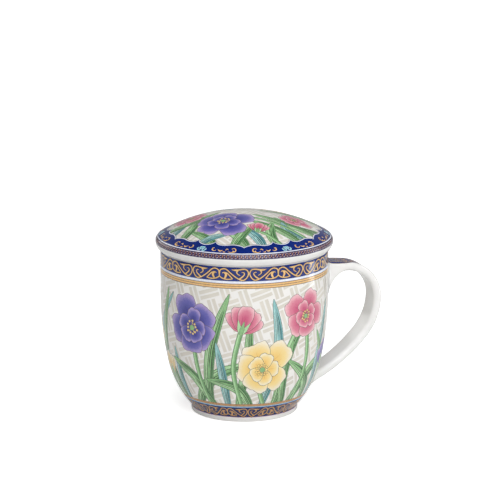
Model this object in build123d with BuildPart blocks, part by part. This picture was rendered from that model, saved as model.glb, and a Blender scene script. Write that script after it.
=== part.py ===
from build123d import *
from math import asin, cos, degrees, radians, sin, sqrt
import os

# A lidded porcelain tea mug with a steel infuser basket. Millimetres, +Z up.
# The origin is on the mug's axis in the plane of its foot, and the handle points along +X.

# Mug body: a straight upper wall, a long flank drawn in below it, a rounder bowl and a foot ring.
RIM_RADIUS = 42.0
MUG_HEIGHT = 82.8
WALL = 3.2
STRAIGHT_FROM = 59.2  # height above which the wall is a plain cylinder
FLANK_RADIUS = 159.0  # of the arc that draws the wall in
HIP_HEIGHT = 26.5  # where the flank becomes the bowl
FLOOR = 4.4  # thickness under the tea
FLOOR_CORNER = 9.0
RIM_ROUND = 1.2
FOOT_RADIUS = 26.8
FOOT_HEIGHT = 3.2
FOOT_RING = 3.0  # width of the ring that the mug stands on
FOOT_RECESS = 2.2
FOOT_ROUND = 0.8
FOOT_NECK = 2.0  # glaze-filled corner between foot and bowl

# Handle: a flat strap, luted to the wall at both ends.
HANDLE_REACH = 69.5  # mug axis to the strap's centreline at its widest
HANDLE_BELOW_RIM = 10.9  # rim to the centreline where the arm leaves the wall
ARM_SLOPE = 5.0  # degrees below the level
ARM_SINK = 6.0  # how far the arm's centreline starts behind the wall's outside
SHOULDER_RADIUS = 17.0
SHOULDER_TURN = 88.0
GRIP_RADIUS = 30.0
GRIP_TURN = 39.0
TAIL_HEIGHT = 10.6  # centreline height where the tail ends behind the wall's outside
TAIL_SINK = 5.6
STRAP_WIDTH = 14.3
STRAP_THICKNESS = 4.15
STRAP_EDGE = 1.9  # rounding of the strap's edges
STRAP_EDGE_SHARE = 0.92  # the most of half the strap's thickness that the rounding may take
SLIP_JOINT = 0.02  # thickness of the fired slip between the strap's roots and the wall
WEB_HEIGHT = 25.0  # how far the arm's root runs down the wall
WEB_SINK = 2.0

# Infuser basket: sheet-steel rim, perforated sleeve and base, and a hoop that clasps the two.
SHEET = 0.5
FOIL = 0.4
BEND = 0.8  # inside radius of the sheet's bends
FLANGE_INSET = 0.8  # mug's outside to the flange's edge
COLLAR_CLEARANCE = 1.0  # mug wall to the collar
COLLAR_DEPTH = 9.0
NECK_LENGTH = 6.0
NECK_OVERLAP = 3.5  # how far the sleeve reaches up into the neck
INFUSER_DEPTH = 59.0
HOOP_CLEARANCE = 1.8  # hoop to the bowl's inside at the foot of the infuser
HOOP_HEIGHT = 4.0
HOOP_LIP = 2.5
HOOP_ROUND = 0.45

# Lid: a shallow dome with a rolled edge, a flat seat and a ring that drops into the infuser.
LID_OVERHANG = 2.4  # mug's outside to the lid's widest point
LID_RISE = 14.1  # widest point of the edge to the crown
LID_EDGE_HEIGHT = 3.7  # seat to the widest point of the edge
LID_ROLL = 3.1  # radius that turns the dome into the edge
LID_TUCK = 1.5  # how far the edge draws in below its widest point
LID_WALL = 3.4
SEAT_WIDTH = 3.9
LID_EDGE_ROUND = 0.6
RING_CLEARANCE = 0.8
RING_WALL = 2.6
RING_DEPTH = 5.0
RING_ROUND = 0.9
GROOVE_HEIGHT = 3.0  # hollow between the seat and the ring

# Places that several pieces share.
floor_top = FOOT_RECESS + FLOOR
bore_radius = RIM_RADIUS - WALL
lid_seat = MUG_HEIGHT + SHEET

# The flank's arc and the bowl's arc share a tangent at the hip.
flank_centre = Vector(RIM_RADIUS - FLANK_RADIUS, STRAIGHT_FROM)
hip_angle = asin((STRAIGHT_FROM - HIP_HEIGHT) / FLANK_RADIUS)
inward = Vector(-cos(hip_angle), sin(hip_angle))
hip = flank_centre - inward * FLANK_RADIUS
foot_top = Vector(FOOT_RADIUS, FOOT_HEIGHT)
to_foot = foot_top - hip
bowl_radius = to_foot.length**2 / (2 * inward.dot(to_foot))
bowl_centre = hip + inward * bowl_radius


def wall_reach(height, inset=0.0):
    """Radius at a height of the mug's outside, or of a surface that lies inset inside it."""
    if height >= STRAIGHT_FROM:
        return RIM_RADIUS - inset
    centre, radius = (flank_centre, FLANK_RADIUS) if height >= HIP_HEIGHT else (bowl_centre, bowl_radius)
    return centre.X + sqrt((radius - inset) ** 2 - (centre.Y - height) ** 2)


def wall_profile(inset, base):
    """Half section of the space inside a surface that lies inset inside the mug's outside, base to rim."""
    downwards = (-sin(hip_angle), -cos(hip_angle))
    base_edge = Vector(wall_reach(base, inset), base)
    side = RIM_RADIUS - inset
    with BuildSketch(Plane.XZ) as profile:
        with BuildLine():
            TangentArc(hip + inward * inset, base_edge, tangent=downwards)
            CenterArc(flank_centre, FLANK_RADIUS - inset, -degrees(hip_angle), degrees(hip_angle))
            Line((side, STRAIGHT_FROM), (side, MUG_HEIGHT))
            Polyline((side, MUG_HEIGHT), (0, MUG_HEIGHT), (0, base), base_edge)
        make_face()
    return profile


with BuildPart() as mug_body:
    add(wall_profile(0, FOOT_HEIGHT).sketch)
    revolve(axis=Axis.Z)
    with BuildSketch():
        Circle(FOOT_RADIUS)
    extrude(amount=FOOT_HEIGHT)
    with BuildSketch(Plane.XZ) as cavity:
        add(wall_profile(WALL, floor_top).sketch_local)
        fillet(cavity.vertices().group_by(Axis.Y)[0].sort_by(Axis.X)[-1], FLOOR_CORNER)
    revolve(axis=Axis.Z, mode=Mode.SUBTRACT)
    with BuildSketch(Plane.XY):
        Circle(FOOT_RADIUS - FOOT_RING)
    extrude(amount=FOOT_RECESS, mode=Mode.SUBTRACT)
    # From below, the circles are the standing ring's two edges, the recess and the foot's top line.
    rings = mug_body.edges().filter_by(GeomType.CIRCLE).group_by(Axis.Z)
    fillet(rings[-1], RIM_ROUND)
    fillet(rings[0], FOOT_ROUND)
    fillet(rings[2], FOOT_NECK)
mug_body.part.label = "mug_body"

# The strap's centreline leaves the wall as a nearly level arm, turns down over the shoulder,
# bows back along the grip and runs as a long tail into the bowl.
arm_start = Vector(RIM_RADIUS - ARM_SINK, MUG_HEIGHT - HANDLE_BELOW_RIM)
arm_end = HANDLE_REACH - SHOULDER_RADIUS * (1 - sin(radians(ARM_SLOPE)))
tail_end = Vector(wall_reach(TAIL_HEIGHT) - TAIL_SINK, TAIL_HEIGHT)
slope = Vector(cos(radians(ARM_SLOPE)), -sin(radians(ARM_SLOPE)))
half_thickness = STRAP_THICKNESS / 2
strap_edge = min(STRAP_EDGE, STRAP_EDGE_SHARE * half_thickness)

with BuildPart() as mug_handle:
    with BuildSketch(Plane.XZ.offset(STRAP_WIDTH / 2)):
        with BuildLine():
            arm = PolarLine(arm_start, (arm_end - arm_start.X) / slope.X, -ARM_SLOPE)
            shoulder = JernArc(arm @ 1, arm % 1, SHOULDER_RADIUS, -SHOULDER_TURN)
            grip = JernArc(shoulder @ 1, shoulder % 1, GRIP_RADIUS, -GRIP_TURN)
            TangentArc(grip @ 1, tail_end, tangent=grip % 1)
            offset(amount=half_thickness)
        make_face()
        # The web under the arm sweeps out of the wall and runs into the strap's underside.
        with BuildLine():
            web_top = arm @ 1 + Vector(slope.Y, -slope.X) * half_thickness
            web_low = web_top.Y - WEB_HEIGHT
            web_foot = Vector(wall_reach(web_low) - WEB_SINK, web_low)
            Spline(web_foot, web_top, tangents=((0, 1), slope))
            Polyline(web_top, arm_start, (arm_start.X, web_low), web_foot)
        make_face()
    extrude(amount=-STRAP_WIDTH)
    # Only the edges that reach out of the wall are rounded. The wall swallows the rest.
    side_edges = mug_handle.edges().filter_by(Axis.Y, reverse=True)
    fillet(side_edges.filter_by(lambda edge: edge.bounding_box().max.X > RIM_RADIUS + WEB_SINK), strap_edge)
    add(wall_profile(-SLIP_JOINT, FOOT_HEIGHT).sketch)
    revolve(axis=Axis.Z, mode=Mode.SUBTRACT)
mug_handle.part.label = "mug_handle"

flange_radius = RIM_RADIUS - FLANGE_INSET
collar_inside = bore_radius - COLLAR_CLEARANCE - SHEET
step_height = lid_seat - COLLAR_DEPTH
neck_foot = step_height - SHEET - NECK_LENGTH
infuser_foot = lid_seat - INFUSER_DEPTH
hoop_radius = wall_reach(infuser_foot, WALL) - HOOP_CLEARANCE
sleeve_radius = hoop_radius - SHEET
base_bottom = infuser_foot + SHEET
sleeve_foot = base_bottom + FOIL

with BuildPart() as infuser_rim:
    with BuildSketch(Plane.XZ):
        with BuildLine():
            bends = [BEND + SHEET, BEND, BEND + SHEET]
            upper = FilletPolyline(
                (flange_radius, lid_seat),
                (collar_inside, lid_seat),
                (collar_inside, step_height),
                (sleeve_radius, step_height),
                (sleeve_radius, neck_foot),
                radius=bends,
            )
            lower = FilletPolyline(
                (flange_radius, lid_seat - SHEET),
                (collar_inside + SHEET, lid_seat - SHEET),
                (collar_inside + SHEET, step_height - SHEET),
                (hoop_radius, step_height - SHEET),
                (hoop_radius, neck_foot),
                radius=bends[1:] + bends[1:2],
            )
            Line(upper @ 0, lower @ 0)
            Line(upper @ 1, lower @ 1)
        make_face()
    revolve(axis=Axis.Z)
infuser_rim.part.label = "infuser_rim"

with BuildPart() as infuser_sleeve:
    with BuildSketch(Plane.XY.offset(sleeve_foot)):
        Circle(sleeve_radius)
        Circle(sleeve_radius - FOIL, mode=Mode.SUBTRACT)
    extrude(amount=neck_foot + NECK_OVERLAP - sleeve_foot)
infuser_sleeve.part.label = "infuser_sleeve"

with BuildPart() as infuser_base:
    with BuildSketch(Plane.XY.offset(base_bottom)):
        Circle(sleeve_radius)
    extrude(amount=FOIL)
infuser_base.part.label = "infuser_base"

with BuildPart() as infuser_base_hoop:
    with BuildSketch(Plane.XY.offset(infuser_foot)):
        Circle(hoop_radius)
    extrude(amount=HOOP_HEIGHT)
    with BuildSketch(Plane.XY.offset(base_bottom)):
        Circle(sleeve_radius)
    extrude(amount=HOOP_HEIGHT, mode=Mode.SUBTRACT)
    with BuildSketch(Plane.XY.offset(infuser_foot)):
        Circle(sleeve_radius - HOOP_LIP)
    extrude(amount=HOOP_HEIGHT, mode=Mode.SUBTRACT)
    fillet(infuser_base_hoop.edges().group_by(Axis.Z)[0].sort_by(SortBy.RADIUS)[-1], HOOP_ROUND)
infuser_base_hoop.part.label = "infuser_base_hoop"

# The dome's radius follows from its rise and the roll that ends it, so both arcs stay tangent.
lid_radius = RIM_RADIUS + LID_OVERHANG
widest_height = lid_seat + LID_EDGE_HEIGHT
crown_height = widest_height + LID_RISE
roll_centre = Vector(lid_radius - LID_ROLL, widest_height)
dome_radius = (roll_centre.X**2 + LID_RISE**2 - LID_ROLL**2) / (2 * (LID_RISE - LID_ROLL))
dome_centre = Vector(0, crown_height - dome_radius)
roll_start = dome_centre + (roll_centre - dome_centre).normalized() * dome_radius
seat_outside = lid_radius - LID_TUCK
seat_inside = seat_outside - SEAT_WIDTH
ring_outside = collar_inside - RING_CLEARANCE
ring_inside = ring_outside - RING_WALL
ring_foot = lid_seat - RING_DEPTH
ceiling_radius = dome_radius - LID_WALL
ceiling_edge = Vector(ring_inside, dome_centre.Y + sqrt(ceiling_radius**2 - ring_inside**2))

with BuildPart() as lid:
    with BuildSketch(Plane.XZ) as lid_profile:
        with BuildLine():
            dome = TangentArc((0, crown_height), roll_start, tangent=(1, 0))
            TangentArc(roll_start, (lid_radius, widest_height), tangent=dome % 1)
            TangentArc((lid_radius, widest_height), (seat_outside, lid_seat), tangent=(0, -1))
            Polyline(
                (seat_outside, lid_seat),
                (seat_inside, lid_seat),
                (ring_outside, lid_seat + GROOVE_HEIGHT),
                (ring_outside, ring_foot),
                (ring_inside, ring_foot),
                ceiling_edge,
            )
            TangentArc((0, crown_height - LID_WALL), ceiling_edge, tangent=(1, 0))
            Line((0, crown_height), (0, crown_height - LID_WALL))
        make_face()
        fillet(lid_profile.vertices().group_by(Axis.Y)[0], RING_ROUND)
        fillet(lid_profile.vertices().sort_by_distance((seat_outside, lid_seat))[0], LID_EDGE_ROUND)
    revolve(axis=Axis.Z)
lid.part.label = "lid"

os.makedirs("parts", exist_ok=True)
export_step(mug_body.part, "parts/mug_body.step")
export_step(mug_handle.part, "parts/mug_handle.step")
export_step(infuser_rim.part, "parts/infuser_rim.step")
export_step(infuser_sleeve.part, "parts/infuser_sleeve.step")
export_step(infuser_base.part, "parts/infuser_base.step")
export_step(infuser_base_hoop.part, "parts/infuser_base_hoop.step")
export_step(lid.part, "parts/lid.step")
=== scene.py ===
# %% [markdown]
# # A printed porcelain tea mug with a lid and an infuser
# The real mug is slip-cast porcelain. Its patterns are printed as transfers, fired on, and lie under a clear
# glaze. The lid lifts off, and a steel infuser basket hangs in the mouth below it.
# The CAD model holds every piece at its real size. This script gives each one its surface.

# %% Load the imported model
import math
import random
from collections import namedtuple

import bmesh
import bpy
import numpy as np
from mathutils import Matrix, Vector
from mathutils.geometry import delaunay_2d_cdt


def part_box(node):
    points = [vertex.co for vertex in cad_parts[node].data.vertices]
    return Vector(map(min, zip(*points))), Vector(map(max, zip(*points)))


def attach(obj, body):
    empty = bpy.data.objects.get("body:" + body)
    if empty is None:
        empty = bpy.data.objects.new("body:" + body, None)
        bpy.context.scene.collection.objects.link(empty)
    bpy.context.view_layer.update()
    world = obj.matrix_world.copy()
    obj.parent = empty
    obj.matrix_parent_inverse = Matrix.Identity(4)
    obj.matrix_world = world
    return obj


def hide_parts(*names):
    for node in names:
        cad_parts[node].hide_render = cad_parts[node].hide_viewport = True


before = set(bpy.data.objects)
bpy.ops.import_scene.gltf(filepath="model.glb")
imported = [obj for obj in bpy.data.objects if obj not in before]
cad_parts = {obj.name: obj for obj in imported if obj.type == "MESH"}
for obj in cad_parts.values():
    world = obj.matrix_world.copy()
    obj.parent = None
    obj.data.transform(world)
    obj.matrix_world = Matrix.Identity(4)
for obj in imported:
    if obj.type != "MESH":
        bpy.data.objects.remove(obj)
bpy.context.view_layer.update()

MM = 0.001


def put(name, data):
    """A new object in the scene that shows this mesh, camera or lamp."""
    made = bpy.data.objects.new(name, data)
    bpy.context.scene.collection.objects.link(made)
    return made


def spread(start, end, parts):
    """Evenly spaced values from start to end."""
    return [start + (end - start) * k / parts for k in range(parts + 1)]


# %% [markdown]
# ## Outlines of the turned pieces
# The moulds for mug and lid are turned, so each piece is one profile swung round an axis. The mug's outside
# is a straight wall, a long shallow arc and a rounder bowl that ends in a small hollow above the foot. A
# formula for the radius at each height gives a smooth wall and exact normals, which a traced outline can't.

# %% The mug's outside
rim_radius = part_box("mug_body")[1].x / MM
mug_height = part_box("mug_body")[1].z / MM
STRAIGHT_FROM = 59.2
FLANK_RADIUS = 159.0
HIP_HEIGHT = 26.5
FOOT_RADIUS = 26.8
FOOT_HEIGHT = 3.2
NECK_ROUND = 2.0
RIM_ROUND = 1.2
WALL = 3.2

hip_angle = math.asin((STRAIGHT_FROM - HIP_HEIGHT) / FLANK_RADIUS)
inward = Vector((-math.cos(hip_angle), math.sin(hip_angle)))
flank_centre = Vector((rim_radius - FLANK_RADIUS, STRAIGHT_FROM))
hip = flank_centre - inward * FLANK_RADIUS
to_foot = Vector((FOOT_RADIUS, FOOT_HEIGHT)) - hip
bowl_radius = to_foot.length_squared / (2 * inward.dot(to_foot))
bowl_centre = hip + inward * bowl_radius
neck_x = FOOT_RADIUS + NECK_ROUND
neck_z = bowl_centre.y - math.sqrt((bowl_radius + NECK_ROUND) ** 2 - (neck_x - bowl_centre.x) ** 2)
neck_top = neck_z + NECK_ROUND * (bowl_centre.y - neck_z) / (bowl_radius + NECK_ROUND)


def wall_radius(z, inset=0.0):
    """Radius of the mug's outside at a height, or of the surface that lies inset inside it."""
    if z > mug_height - RIM_ROUND and not inset:
        return rim_radius - RIM_ROUND + math.sqrt(RIM_ROUND**2 - (z - mug_height + RIM_ROUND) ** 2)
    if z >= STRAIGHT_FROM:
        return rim_radius - inset
    if z >= HIP_HEIGHT:
        return flank_centre.x + math.sqrt((FLANK_RADIUS - inset) ** 2 - (flank_centre.y - z) ** 2)
    if z >= neck_top or inset:
        return bowl_centre.x + math.sqrt((bowl_radius - inset) ** 2 - (bowl_centre.y - z) ** 2)
    if z > neck_z:
        return neck_x - math.sqrt(NECK_ROUND**2 - (z - neck_z) ** 2)
    return FOOT_RADIUS


print("mug:", round(rim_radius, 2), "by", round(mug_height, 2), "mm, bowl arc", round(bowl_radius, 1))

# %% Points and normals of a profile
SLOPE_STEP = 0.01


def wall_at(z, inset=0.0):
    """The wall as a profile point: radius, height, and its outward normal's radius and height."""
    slope = (wall_radius(z + SLOPE_STEP, inset) - wall_radius(z - SLOPE_STEP, inset)) / (2 * SLOPE_STEP)
    length = math.hypot(1, slope)
    return wall_radius(z, inset), z, 1 / length, -slope / length


def swung(profile_point, angle):
    """A profile point turned to an angle round the axis: point and normal."""
    r, z, nr, nz = profile_point
    c, s = math.cos(angle), math.sin(angle)
    return (r * c, r * s, z), (nr * c, nr * s, nz)


def arc(centre, radius, start, end, steps, sign=1):
    """Profile points along an arc between two angles in degrees. sign -1 turns the normals inwards."""
    turns = [(math.cos(math.radians(a)), math.sin(math.radians(a))) for a in spread(start, end, steps)]
    return [(centre[0] + radius * c, centre[1] + radius * s, sign * c, sign * s) for c, s in turns]


print("the wall at the hip faces", [round(v, 2) for v in wall_at(HIP_HEIGHT)[2:]])

# %% [markdown]
# ## Cutting prints into a surface
# A transfer print has crisp edges, far finer than a painted texture keeps. So the prints are cut into the
# mesh itself. The surface is laid out flat, as the transfer sheet is. Every outline goes into a constrained
# Delaunay triangulation, and each triangle takes the paint of the topmost print over it. Then the flat
# sheet is wrapped round the piece, with normals from the profile, so the glaze stays smooth over all cuts.

# %% Strokes
Print = namedtuple("Print", "outline paint heart")  # heart: centre, axis, half length and half width, or None


def shape(outline, paint, heart=None):
    """One printed shape, its outline turned anticlockwise."""
    area = sum(a[0] * b[1] - b[0] * a[1] for a, b in zip(outline, outline[1:] + outline[:1]))
    return Print(outline if area > 0 else outline[::-1], paint, heart)


def smooth_line(points, steps=6):
    """A smooth line through a few points, as the pen runs through them."""
    padded = [points[0], *points, points[-1]]
    line = []
    for a, b, c, d in zip(padded, padded[1:], padded[2:], padded[3:]):
        for step in range(steps):
            t = step / steps
            pull = ((2 - t) * t - 1) * t, t * t * (3 * t - 5) + 2, ((4 - 3 * t) * t + 1) * t, (t - 1) * t * t
            line.append(tuple(sum(w * p[i] for w, p in zip(pull, (a, b, c, d))) / 2 for i in (0, 1)))
    return line + [tuple(points[-1])]


def sideways(line, shift):
    """A line moved to its left by shift, which gives a distance for each share of its length."""
    moved_line = []
    for i, (x, y) in enumerate(line):
        before, after = line[max(i - 1, 0)], line[min(i + 1, len(line) - 1)]
        along = Vector((after[0] - before[0], after[1] - before[1])).normalized()
        offset = shift(i / (len(line) - 1))
        moved_line.append((x - along.y * offset, y + along.x * offset))
    return moved_line


def ribbon(line, breadth):
    """Outline of a stroke along a line. breadth gives its full width at each share of the length."""
    left = sideways(line, lambda t: breadth(t) / 2)
    return left + sideways(line, lambda t: -breadth(t) / 2)[::-1]


def pen(start, middle, end):
    """A stroke's width along its length, from one end over the middle to the other."""
    return lambda t: start + (middle - start) * 2 * t if t < 0.5 else middle + (end - middle) * (2 * t - 1)


print("smoothed, a line through 3 points has", len(smooth_line([(0, 0), (1, 1), (2, 0)])))


# %% Outlines
def moved(outline, origin=(0, 0), scale=(1, 1), turn=0.0):
    """An outline scaled, then turned by an angle, then moved."""
    c, s = math.cos(turn), math.sin(turn)
    return [
        (origin[0] + x * scale[0] * c - y * scale[1] * s, origin[1] + x * scale[0] * s + y * scale[1] * c)
        for x, y in outline
    ]


def rectangle(left, low, right, high):
    return [(left, low), (right, low), (right, high), (left, high)]


def disc(centre, radius, corners, phase=0.0):
    """A round outline. phase turns it by a share of the angle between two corners."""
    turns = [math.tau * (k + phase) / corners for k in range(corners)]
    return [(centre[0] + radius * math.cos(a), centre[1] + radius * math.sin(a)) for a in turns]


def grid(columns, rows):
    """The border of a rectangular sheet, and the dots inside it that let it bend."""
    border = [(u, rows[0]) for u in columns] + [(columns[-1], v) for v in rows[1:-1]]
    border += [(u, rows[-1]) for u in columns[::-1]] + [(columns[0], v) for v in rows[-2:0:-1]]
    return border, [(u, v) for u in columns[1:-1] for v in rows[1:-1]]


print("a grid of 3 by 3 points has", len(grid([0, 1, 2], [0, 1, 2])[0]), "on its border")

# %% Wrapping a printed sheet
Patch = namedtuple("Patch", "points normals faces paints marks")  # a corner's mark: heart x, y and map x, y
LONGEST_EDGE = 1.5  # so that no straight edge cuts into the curved wall
SAME_POINT = 1e-6  # mm, below which the triangulation joins points


def divided(outline):
    """An outline with points added along its long edges."""
    fine = []
    for a, b in zip(outline, outline[1:] + outline[:1]):
        parts = max(1, math.ceil(math.dist(a, b) / LONGEST_EDGE))
        fine += [(a[0] + (b[0] - a[0]) * k / parts, a[1] + (b[1] - a[1]) * k / parts) for k in range(parts)]
    return fine


def triangulated(flat, loops):
    """The points, and the triangles within the first loop, each with the numbers of the loops round it."""
    points = [Vector(p) for p in flat]
    points, _, triangles, _, _, owners = delaunay_2d_cdt(points, [], loops, 1, SAME_POINT, True)
    return points, [(corners, over) for corners, over in zip(triangles, owners) if 0 in over]


def inlay(border, prints, dots, ground, place, mapped):
    """Cuts prints into the sheet inside border and wraps it. place turns a flat point into (point, normal).

    mapped turns a flat point, and the middle of its face, into a place on the piece's texture map.
    """
    flat, loops = list(border), [list(range(len(border)))]
    for one in prints:
        outline = divided(one.outline)
        loops.append(list(range(len(flat), len(flat) + len(outline))))
        flat.extend(outline)
    flat, inside = triangulated(flat + dots, loops)
    used = sorted({corner for corners, _ in inside for corner in corners})
    number = {corner: i for i, corner in enumerate(used)}
    points, normals = zip(*(place(flat[corner].x, flat[corner].y) for corner in used))
    faces, paints, marks = [], [], []
    for corners, over in inside:
        top = max(over)
        faces.append([number[corner] for corner in corners])
        paints.append(prints[top - 1].paint if top else ground)
        heart = prints[top - 1].heart if top else None
        middle = sum((flat[corner] for corner in corners), Vector((0, 0))) / 3
        for corner in corners:
            at = flat[corner]
            marks.append((*(in_heart(at, heart) if heart else (0.0, 0.0)), *mapped(at, middle)))
    return Patch(points, normals, faces, paints, marks)


def in_heart(point, heart):
    """Where a point lies in a petal: 0 at its heart, and 1 at the ends of its length and width."""
    centre, axis, half_length, half_width = heart
    x, y = point[0] - centre[0], point[1] - centre[1]
    c, s = math.cos(axis), math.sin(axis)
    return (x * c + y * s) / half_length, (y * c - x * s) / half_width


print("a printed edge cuts at most", round(LONGEST_EDGE**2 / (8 * rim_radius), 4), "mm into the wall")


# %% Turned surfaces
def turned(profile, paint, turns, mapped):
    """A surface of revolution from a profile of (radius, height, normal's radius, normal's height).

    mapped turns a share of the profile and a share of the turn into a place on the piece's texture map.
    """
    points, normals = zip(*(swung(one, math.tau * k / turns) for one in profile for k in range(turns)))
    faces, marks = [], []
    for row in range(len(profile) - 1):
        for k in range(turns):
            a, b = row * turns + k, row * turns + (k + 1) % turns
            faces.append([a, b, b + turns, a + turns])
            for i, j in ((row, k), (row, k + 1), (row + 1, k + 1), (row + 1, k)):
                marks.append((0.0, 0.0, *mapped(i / (len(profile) - 1), j / turns)))
    return Patch(points, normals, faces, [paint] * len(faces), marks)


def runs_inward(patch):
    """Whether a patch's faces, taken together, run the wrong way round for its normals."""
    points, normals = np.array(patch.points), np.array(patch.normals)
    first = np.array([face[:3] for face in patch.faces])
    a, b, c = (points[first[:, k]] for k in range(3))
    return (np.cross(b - a, c - a) * normals[first].sum(axis=1)).sum() < 0


flat_ring = turned([(1, 0, 0, 1), (2, 0, 0, 1)], "white", 4, lambda along, turn: (along, turn))
print("a ring in 4 steps:", len(flat_ring.faces), "faces, which run inward:", runs_inward(flat_ring))


# %% Whole pieces
def make_piece(name, patches, materials, map_side=None):
    """Joins patches where their points meet, and makes one object with a material slot for each paint.

    map_side is the side of the piece's square texture map, where it has one.
    """
    points = np.concatenate([np.array(p.points) for p in patches]) * MM
    normals = np.concatenate([np.array(p.normals) for p in patches])
    _, first, joined = np.unique(np.round(points, 6) + 0.0, axis=0, return_index=True, return_inverse=True)
    points, normals, joined = points[first], normals[first], joined.ravel()
    faces, paints, marks, start = [], [], [], 0
    for patch in patches:
        corner, turn = 0, -1 if runs_inward(patch) else 1
        for face, paint in zip(patch.faces, patch.paints):
            places = {int(joined[start + i]): patch.marks[corner + k] for k, i in enumerate(face)}
            corner += len(face)
            if len(places) > 2:
                faces.append(list(places)[::turn])
                paints.append(paint)
                marks.append(list(places.values())[::turn])
        start += len(patch.points)
    mesh = bpy.data.meshes.new(name)
    mesh.from_pydata(points.tolist(), [], faces)
    used = sorted(set(paints))
    for paint in used:
        mesh.materials.append(materials[paint])
    mesh.polygons.foreach_set("material_index", [used.index(paint) for paint in paints])
    mesh.polygons.foreach_set("use_smooth", [True] * len(faces))
    marks = np.array([mark for face in marks for mark in face])
    heart = mesh.attributes.new("heart", "FLOAT_VECTOR", "CORNER")
    heart.data.foreach_set("vector", np.pad(marks[:, :2], ((0, 0), (0, 1))).ravel())
    if map_side:
        mesh.uv_layers.new(name="OFBake").uv.foreach_set("vector", (marks[:, 2:] / map_side).ravel())
    mesh.normals_split_custom_set_from_vertices(normals.tolist())
    print(name, len(mesh.vertices), "vertices,", len(faces), "faces,", len(used), "paints")
    return put(name, mesh)


# %% [markdown]
# ## Colours and nodes
# Every colour is written as the sRGB hex value that the eye sees, and one function turns it linear.
# One more function adds a node with its settings and links, so that each material reads as a short recipe.
# Sums are nested: ("ADD", a, ("MULTIPLY", b, 2.0)) stands for two Math nodes.

# %% Colour and node helpers
def colour(hex_value):
    """An sRGB hex colour as linear red, green, blue and alpha."""
    parts = [int(hex_value[i : i + 2], 16) / 255 for i in (0, 2, 4)]
    linear = [p / 12.92 if p <= 0.04045 else ((p + 0.055) / 1.055) ** 2.4 for p in parts]
    return (*linear, 1.0)


def feed(tree, target, feeds):
    """Gives a node's inputs, by name or number, a value, another node's output or a nested sum."""
    for socket, value in feeds.items():
        if isinstance(value, tuple) and isinstance(value[0], str):
            value = node(tree, "Math", dict(enumerate(value[1:])), operation=value[0])[0]
        if isinstance(value, bpy.types.NodeSocket):
            tree.links.new(value, target.inputs[socket])
        else:
            target.inputs[socket].default_value = value


def node(tree, kind, feeds=None, **settings):
    """Adds a node with its settings, feeds its inputs and returns its outputs."""
    made = tree.nodes.new("ShaderNode" + kind)
    for name, value in settings.items():
        setattr(made, name, value)
    feed(tree, made, feeds or {})
    return made.outputs


def surface(name, recipe):
    """A material. recipe(tree, place) gives its shader's inputs, from the place of a point on the piece."""
    material = bpy.data.materials.new(name)
    material.use_nodes = True
    tree = material.node_tree
    place = node(tree, "TexCoord")["Object"]
    feed(tree, tree.nodes["Principled BSDF"], recipe(tree, place))
    return material


print("half grey in linear light:", round(colour("808080")[0], 3))

# %% [markdown]
# ## Glaze
# Porcelain glaze is a thin clear glass: IOR 1.5, almost no roughness, and a faint orange-peel unevenness
# from the firing, which breaks long highlights into soft-edged pieces. All ceramic paints share it. Under
# it each pigment has its own slight mottling, because printed colour is never quite even. Only the ring
# that the mug stands on is wiped bare before firing, and stays dry and matt.

# %% Glaze and bare porcelain
PORCELAIN_IOR = 1.5
GLAZE_ROUGHNESS = 0.09
GLAZE_WAVE_MM = 9.0
GLAZE_WAVE = 0.25
BARE_ROUGHNESS = 0.75


def glazed(name, make_colour):
    """A glazed ceramic material. make_colour(tree, place) returns the colour under the glaze."""

    def recipe(tree, place):
        swell = node(tree, "TexNoise", {"Vector": place, "Scale": 1 / (GLAZE_WAVE_MM * MM), "Detail": 1.0})[0]
        dull = node(tree, "MapRange", {0: swell, 3: GLAZE_ROUGHNESS * 0.8, 4: GLAZE_ROUGHNESS * 1.25})[0]
        bump = node(tree, "Bump", {"Strength": GLAZE_WAVE, "Distance": 0.1 * MM, "Height": swell})[0]
        body = {"Base Color": make_colour(tree, place), "IOR": PORCELAIN_IOR}
        return body | {"Roughness": dull, "Normal": bump}

    return surface(name, recipe)


def unglazed(name, make_colour):
    """Bare fired porcelain: the same body without its glass, so dry and matt."""

    def recipe(tree, place):
        return {"Base Color": make_colour(tree, place), "IOR": PORCELAIN_IOR, "Roughness": BARE_ROUGHNESS}

    return surface(name, recipe)


print("roughness:", GLAZE_ROUGHNESS, "glazed,", BARE_ROUGHNESS, "bare")

# %% Colours under the glaze
MOTTLE_MM = 1.1
STREAK_MM = 0.8
STREAKS = 0.25
PETAL_STEPS = ((0.15, 0.62), (0.55, 0.98))  # from where to where a petal's next tone comes in
MIDDLE = {1: 0.35, 2: 0.65}  # the range that most of a noise texture's values lie in


def pigment(light, dark, grain_mm=MOTTLE_MM):
    """A printed colour that drifts between two tones."""

    def make(tree, place):
        grain = node(tree, "TexNoise", {"Vector": place, "Scale": 1 / (grain_mm * MM), "Detail": 2.0})[0]
        share = node(tree, "MapRange", {0: grain, **MIDDLE})[0]
        return node(tree, "Mix", {0: share, 6: colour(dark), 7: colour(light)}, data_type="RGBA")[2]

    return make


def petal_colour(heart, *further):
    """A petal's colour: strong at its heart, paler towards the rim, with fine streaks along it."""

    def make(tree, place):
        at = node(tree, "Attribute", attribute_name="heart")["Vector"]
        out = node(tree, "VectorMath", {0: at}, operation="LENGTH")["Value"]
        grain = node(tree, "TexNoise", {"Vector": place, "Scale": 1 / (STREAK_MM * MM), "Detail": 2.0})[0]
        ragged = {0: out, 1: ("MULTIPLY", ("SUBTRACT", grain, 0.5), STREAKS)}
        out = node(tree, "Math", ragged, operation="ADD")[0]
        tone = colour(heart)
        for (start, end), next_tone in zip(PETAL_STEPS, further):
            share = node(tree, "MapRange", {0: out, 1: start, 2: end}, interpolation_type="SMOOTHSTEP")[0]
            tone = node(tree, "Mix", {0: share, 6: tone, 7: colour(next_tone)}, data_type="RGBA")[2]
        return tone

    return make


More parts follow.
